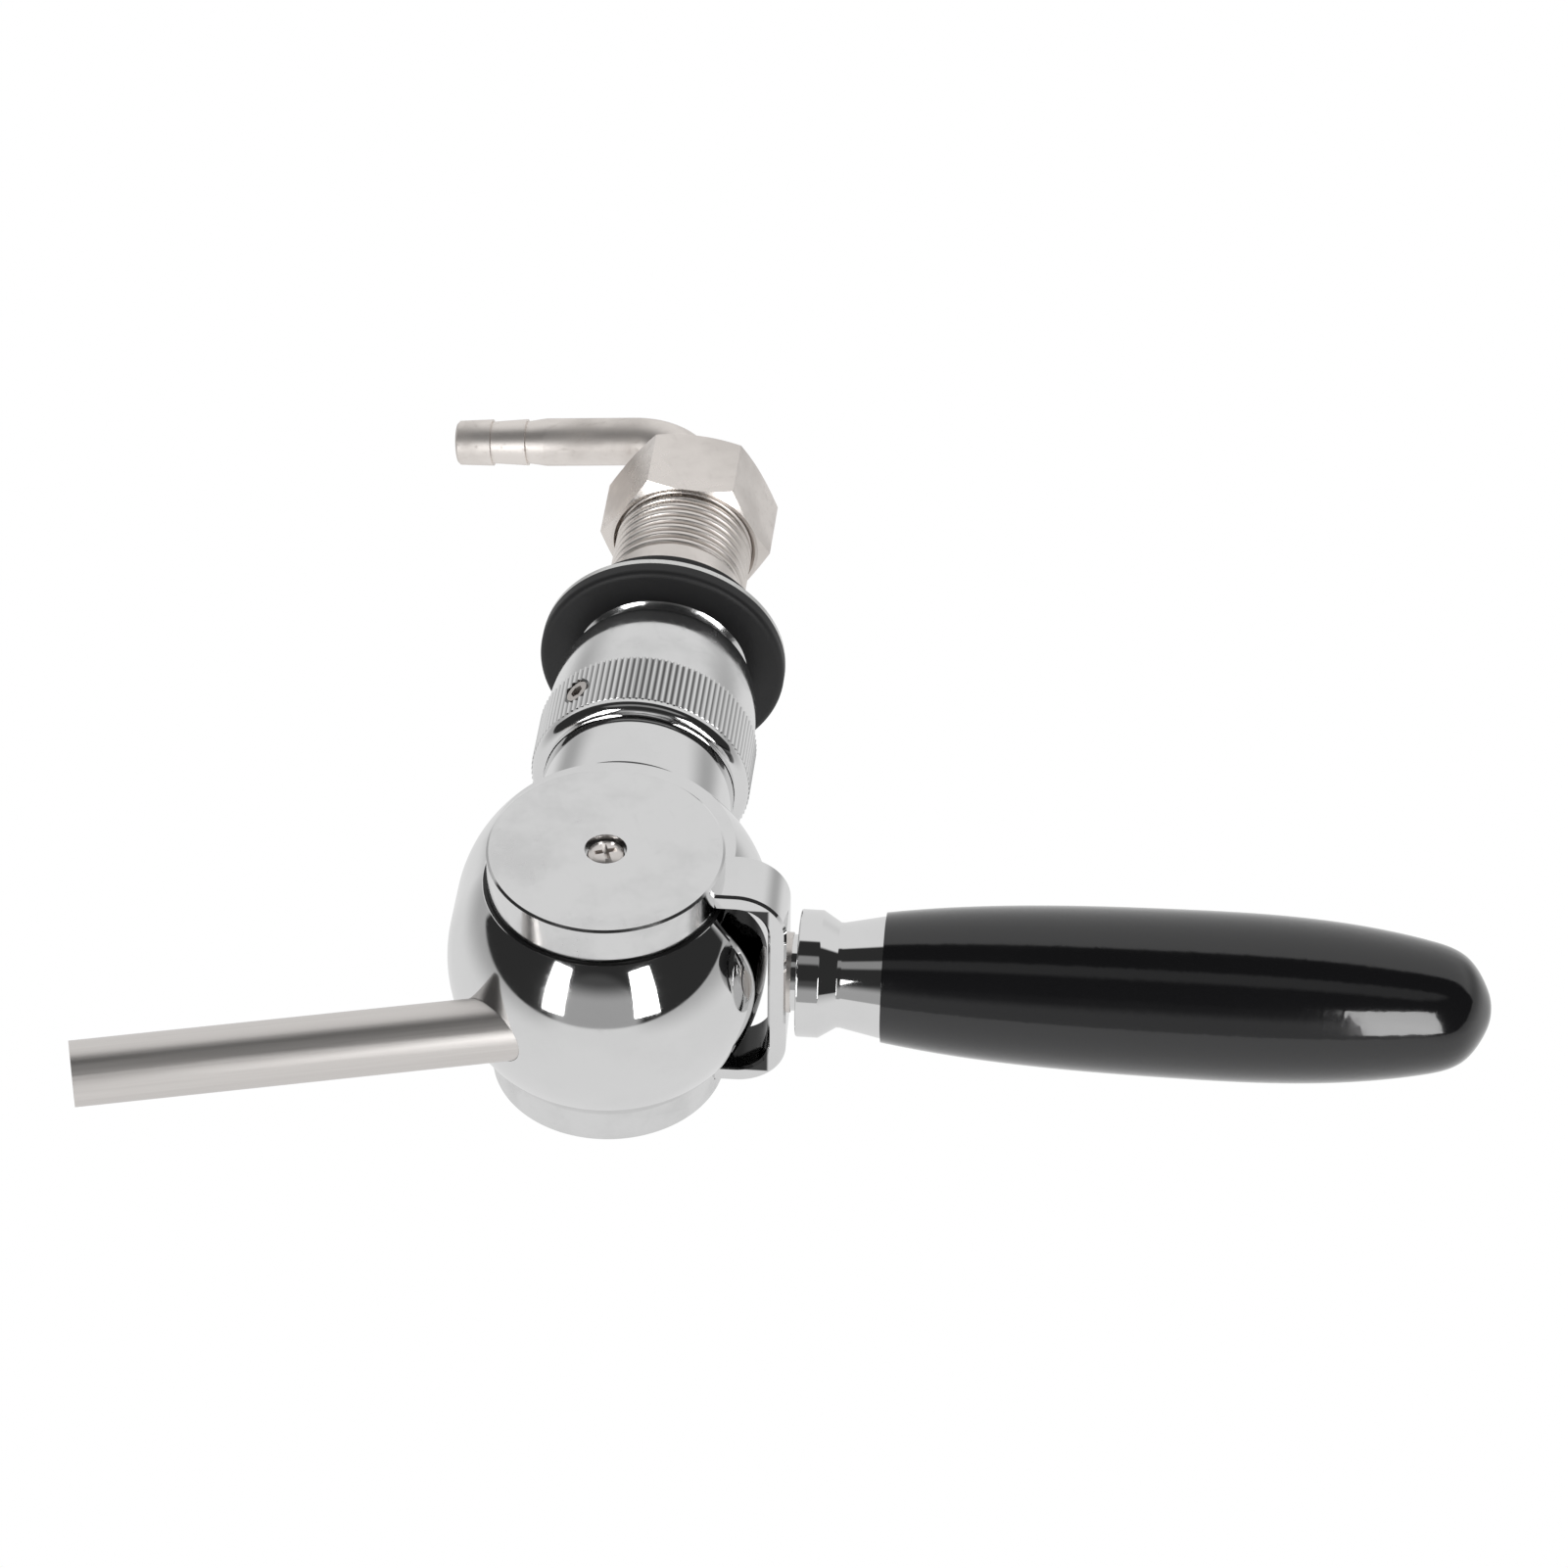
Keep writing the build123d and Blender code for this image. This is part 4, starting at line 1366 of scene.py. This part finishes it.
    def black_rings(self, shop: Workshop) -> bpy.types.Object:
        """Lay a thin black ring in the groove round each cap.

        Args:
            shop: The materials.

        Returns:
            Both rings as one piece.
        """
        # black rings in the grooves make a dark line round each cap
        build = bmesh.new()
        inner, outer = self.cap_radius - self.black_ring_overlap, self.rim_radius() - self.black_ring_gap
        low, high = self.half_width - self.rim_step + self.black_ring_gap, self.half_width - self.black_ring_sink
        for side in (-1, 1):
            ring = turned_mesh("black_ring", [
                Corner(inner, side * low), Corner(outer, side * low), Corner(outer, side * high),
                Corner(inner, side * high),
            ], self.pivot_axle(), 160)
            build.from_mesh(ring)
        mesh = bpy.data.meshes.new("cap_black_rings")
        build.to_mesh(mesh)
        build.free()
        return keep("cap_black_rings", mesh, shop.materials[SEAL_RUBBER.name])

    def build(self, shop: Workshop) -> None:
        """Build the ball and hand it to the base.

        Args:
            shop: The materials.
        """
        mesh = cut(self.shell(), self.cavities())
        ball = keep("polished_ball", mesh, shop.materials[CHROME.name], 25.0)
        self.polish(mesh)
        black_rings = self.black_rings(shop)
        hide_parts("ball_body")
        for piece in (ball, black_rings):
            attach(piece, Body.BASE.value)


@dataclass
class Studio:
    """Camera, lamps, floor and surroundings, set out from the ball's centre.

    The photograph's own up is the tap's -X, its right is +Z and away from the viewer is +Y.
    """

    ball_centre: Vector
    camera_offset: Vector = Vector((-0.68671, -0.70318, 0.10066))
    view_right: Vector = Vector((-0.00661, 0.10935, 0.99398))
    view_forward: Vector = Vector((0.67536, 0.73354, -0.07621))
    focal_pixels: float = 6424.1
    image_pixels: float = 1601.0
    sensor_mm: float = 36.0
    floor_drop: float = 0.13
    floor_size: float = 1.6
    lamp_distance: float = 0.8
    lamp_foot: float = -0.05
    lamp_head: float = 0.47
    lamp_radiance: float = 6.0
    lamps: tuple[tuple[str, float, float], ...] = (
        ("left_softbox", -151.5, 14.5), ("right_softbox", 146.5, 17.0),
    )
    room_level: float = 0.78
    side_loss: float = 0.34
    horizon_tilt: float = 0.19
    gap_level: float = 0.36
    glow_level: float = 0.25
    dark_level: float = 0.03

    def from_photo(self, right: float, away: float, up: float) -> Vector:
        """Turn a direction of the photograph's room into the tap's own directions.

        Args:
            right: Share to the photograph's right.
            away: Share away from the viewer.
            up: Share upwards in the photograph's room.

        Returns:
            The direction in the tap's frame.
        """
        return Vector((-up, away, right))

    def set_camera(self) -> None:
        """Place the camera at the photograph's viewing angle."""
        data = bpy.data.cameras.new("photo_camera")
        data.sensor_width = self.sensor_mm
        data.lens = self.focal_pixels / self.image_pixels * self.sensor_mm
        data.clip_start = 0.01
        data.clip_end = 20.0
        camera = link("photo_camera", data)
        back = -self.view_forward.normalized()
        right = (self.view_right - self.view_right.dot(back) * back).normalized()
        up = back.cross(right)
        turn = Matrix((right, up, back)).transposed().to_4x4()
        camera.matrix_world = Matrix.Translation(self.ball_centre + self.camera_offset) @ turn
        bpy.context.scene.camera = camera

    def add_floor(self) -> None:
        """Lay a pale floor below the tap as the photograph has it, out of the camera's sight."""
        half = self.floor_size / 2
        down = self.from_photo(0, 0, -1) * self.floor_drop
        corners = [
            self.ball_centre + down + self.from_photo(x * half, y * half, 0)
            for x, y in ((-1, -1), (1, -1), (1, 1), (-1, 1))
        ]
        mesh = bpy.data.meshes.new("floor")
        mesh.from_pydata(corners, [], [(0, 1, 2, 3)])
        floor = link("floor", mesh)
        material = bpy.data.materials.new("pale_floor")
        material.use_nodes = True
        shader = material.node_tree.nodes["Principled BSDF"]
        shader.inputs["Base Color"].default_value = (0.72, 0.72, 0.72, 1)
        shader.inputs["Roughness"].default_value = 0.6
        mesh.materials.append(material)
        floor.visible_camera = False
        floor.visible_glossy = False

    def add_lamp(self, name: str, azimuth: float, spread: float) -> None:
        """Stand a tall soft lamp beside the camera.

        Args:
            name: The lamp's name.
            azimuth: Its direction from the ball in degrees, from straight away towards the right.
            spread: How many degrees it is wide.
        """
        turn = math.radians(azimuth)
        out = self.from_photo(math.sin(turn), math.cos(turn), 0.0)
        rise = self.from_photo(0, 0, 1)
        data = bpy.data.lights.new(name, "AREA")
        data.shape = "RECTANGLE"
        data.size = 2 * self.lamp_distance * math.tan(math.radians(spread / 2))
        data.size_y = self.lamp_head - self.lamp_foot
        data.energy = self.lamp_radiance * math.pi * data.size * data.size_y
        lamp = link(name, data)
        place = self.ball_centre + out * self.lamp_distance + rise * (self.lamp_head + self.lamp_foot) / 2
        turned = Matrix((rise.cross(out), rise, out)).transposed().to_4x4()
        lamp.matrix_world = Matrix.Translation(place) @ turned

    def set_world(self) -> None:
        """Surround the tap with a pale room that is dark behind the viewer, and white to the camera."""
        world = bpy.data.worlds.new("studio")
        bpy.context.scene.world = world
        world.use_nodes = True
        sheet = NodeSheet(world.node_tree)
        sheet.tree.nodes.clear()
        way = sheet.add("ShaderNodeTexCoord").outputs["Generated"]
        right = sheet.dot(way, tuple(self.from_photo(1, 0, 0)))
        away = sheet.dot(way, tuple(self.from_photo(0, 1, 0)))
        up = sheet.dot(way, tuple(self.from_photo(0, 0, 1)))
        side = sheet.ramp(sheet.math("ABSOLUTE", right), 0.3, 0.7)
        level = sheet.ramp(sheet.math("ABSOLUTE", up), 0.02, 0.42, 1.0, 0.0)
        sides = sheet.math("MULTIPLY", side, level)
        pale = sheet.math("MULTIPLY_ADD", sides, -self.side_loss, self.room_level)
        edge = sheet.math("MULTIPLY_ADD", away, -self.horizon_tilt, up)
        viewer = sheet.ramp(away, 0.20, 0.28, 1.0, 0.0)
        dark = sheet.math("MULTIPLY", viewer, sheet.ramp(edge, -0.015, 0.015))
        between = sheet.math(
            "MULTIPLY", sheet.ramp(away, -0.9, -0.84, 1.0, 0.0), sheet.ramp(up, 0.16, 0.4, 1.0, 0.12)
        )
        overhead = sheet.math(
            "MULTIPLY", sheet.ramp(away, -0.55, -0.45), sheet.ramp(away, -0.30, -0.22, 1.0, 0.0)
        )
        glow = sheet.math("MULTIPLY", overhead, sheet.ramp(up, 0.7, 0.8, 0.0, self.glow_level))
        dim = sheet.math("MULTIPLY_ADD", between, self.gap_level, sheet.math("ADD", glow, self.dark_level))
        shade = sheet.mix(dark, self.grey(sheet, pale), self.grey(sheet, dim))
        room = sheet.add("ShaderNodeBackground", {"Color": shade})
        paper = sheet.add("ShaderNodeBackground", {"Color": (1.0, 1.0, 1.0, 1.0)})
        rays = sheet.add("ShaderNodeLightPath")
        seen = sheet.math("MAXIMUM", rays.outputs["Is Camera Ray"], rays.outputs["Is Transmission Ray"])
        blend = sheet.add("ShaderNodeMixShader", {0: seen, 1: room.outputs[0], 2: paper.outputs[0]})
        sheet.add("ShaderNodeOutputWorld", {"Surface": blend.outputs[0]})

    def grey(self, sheet: NodeSheet, value: Socket) -> Socket:
        """Make a grey colour from a number.

        Args:
            sheet: The sheet to work in.
            value: The grey's level.

        Returns:
            The colour's socket.
        """
        return sheet.add("ShaderNodeCombineColor", {0: value, 1: value, 2: value}).outputs[0]

    def build(self) -> None:
        """Set up the whole studio."""
        self.set_camera()
        self.add_floor()
        for name, azimuth, spread in self.lamps:
            self.add_lamp(name, azimuth, spread)
        self.set_world()
        bpy.context.scene.view_settings.view_transform = "Standard"
        LOG.info("studio set round %s", tuple(self.ball_centre))


def main() -> None:
    """Build the studio and dress the tap."""
    logging.basicConfig(level=logging.INFO, format="%(message)s")
    shop = Workshop()
    dress_nodes(shop)
    low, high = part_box("left_cap")
    pivot = Vector((0.0, (low[1] + high[1]) / 2, (low[2] + high[2]) / 2))
    BallBody().build(shop)
    Shank().build(shop)
    BackingWasher().build(shop)
    CapScrews(pivot).build(shop)
    Ferrule(pivot).build(shop)
    Studio(pivot).build()


if __name__ == "__main__":
    main()
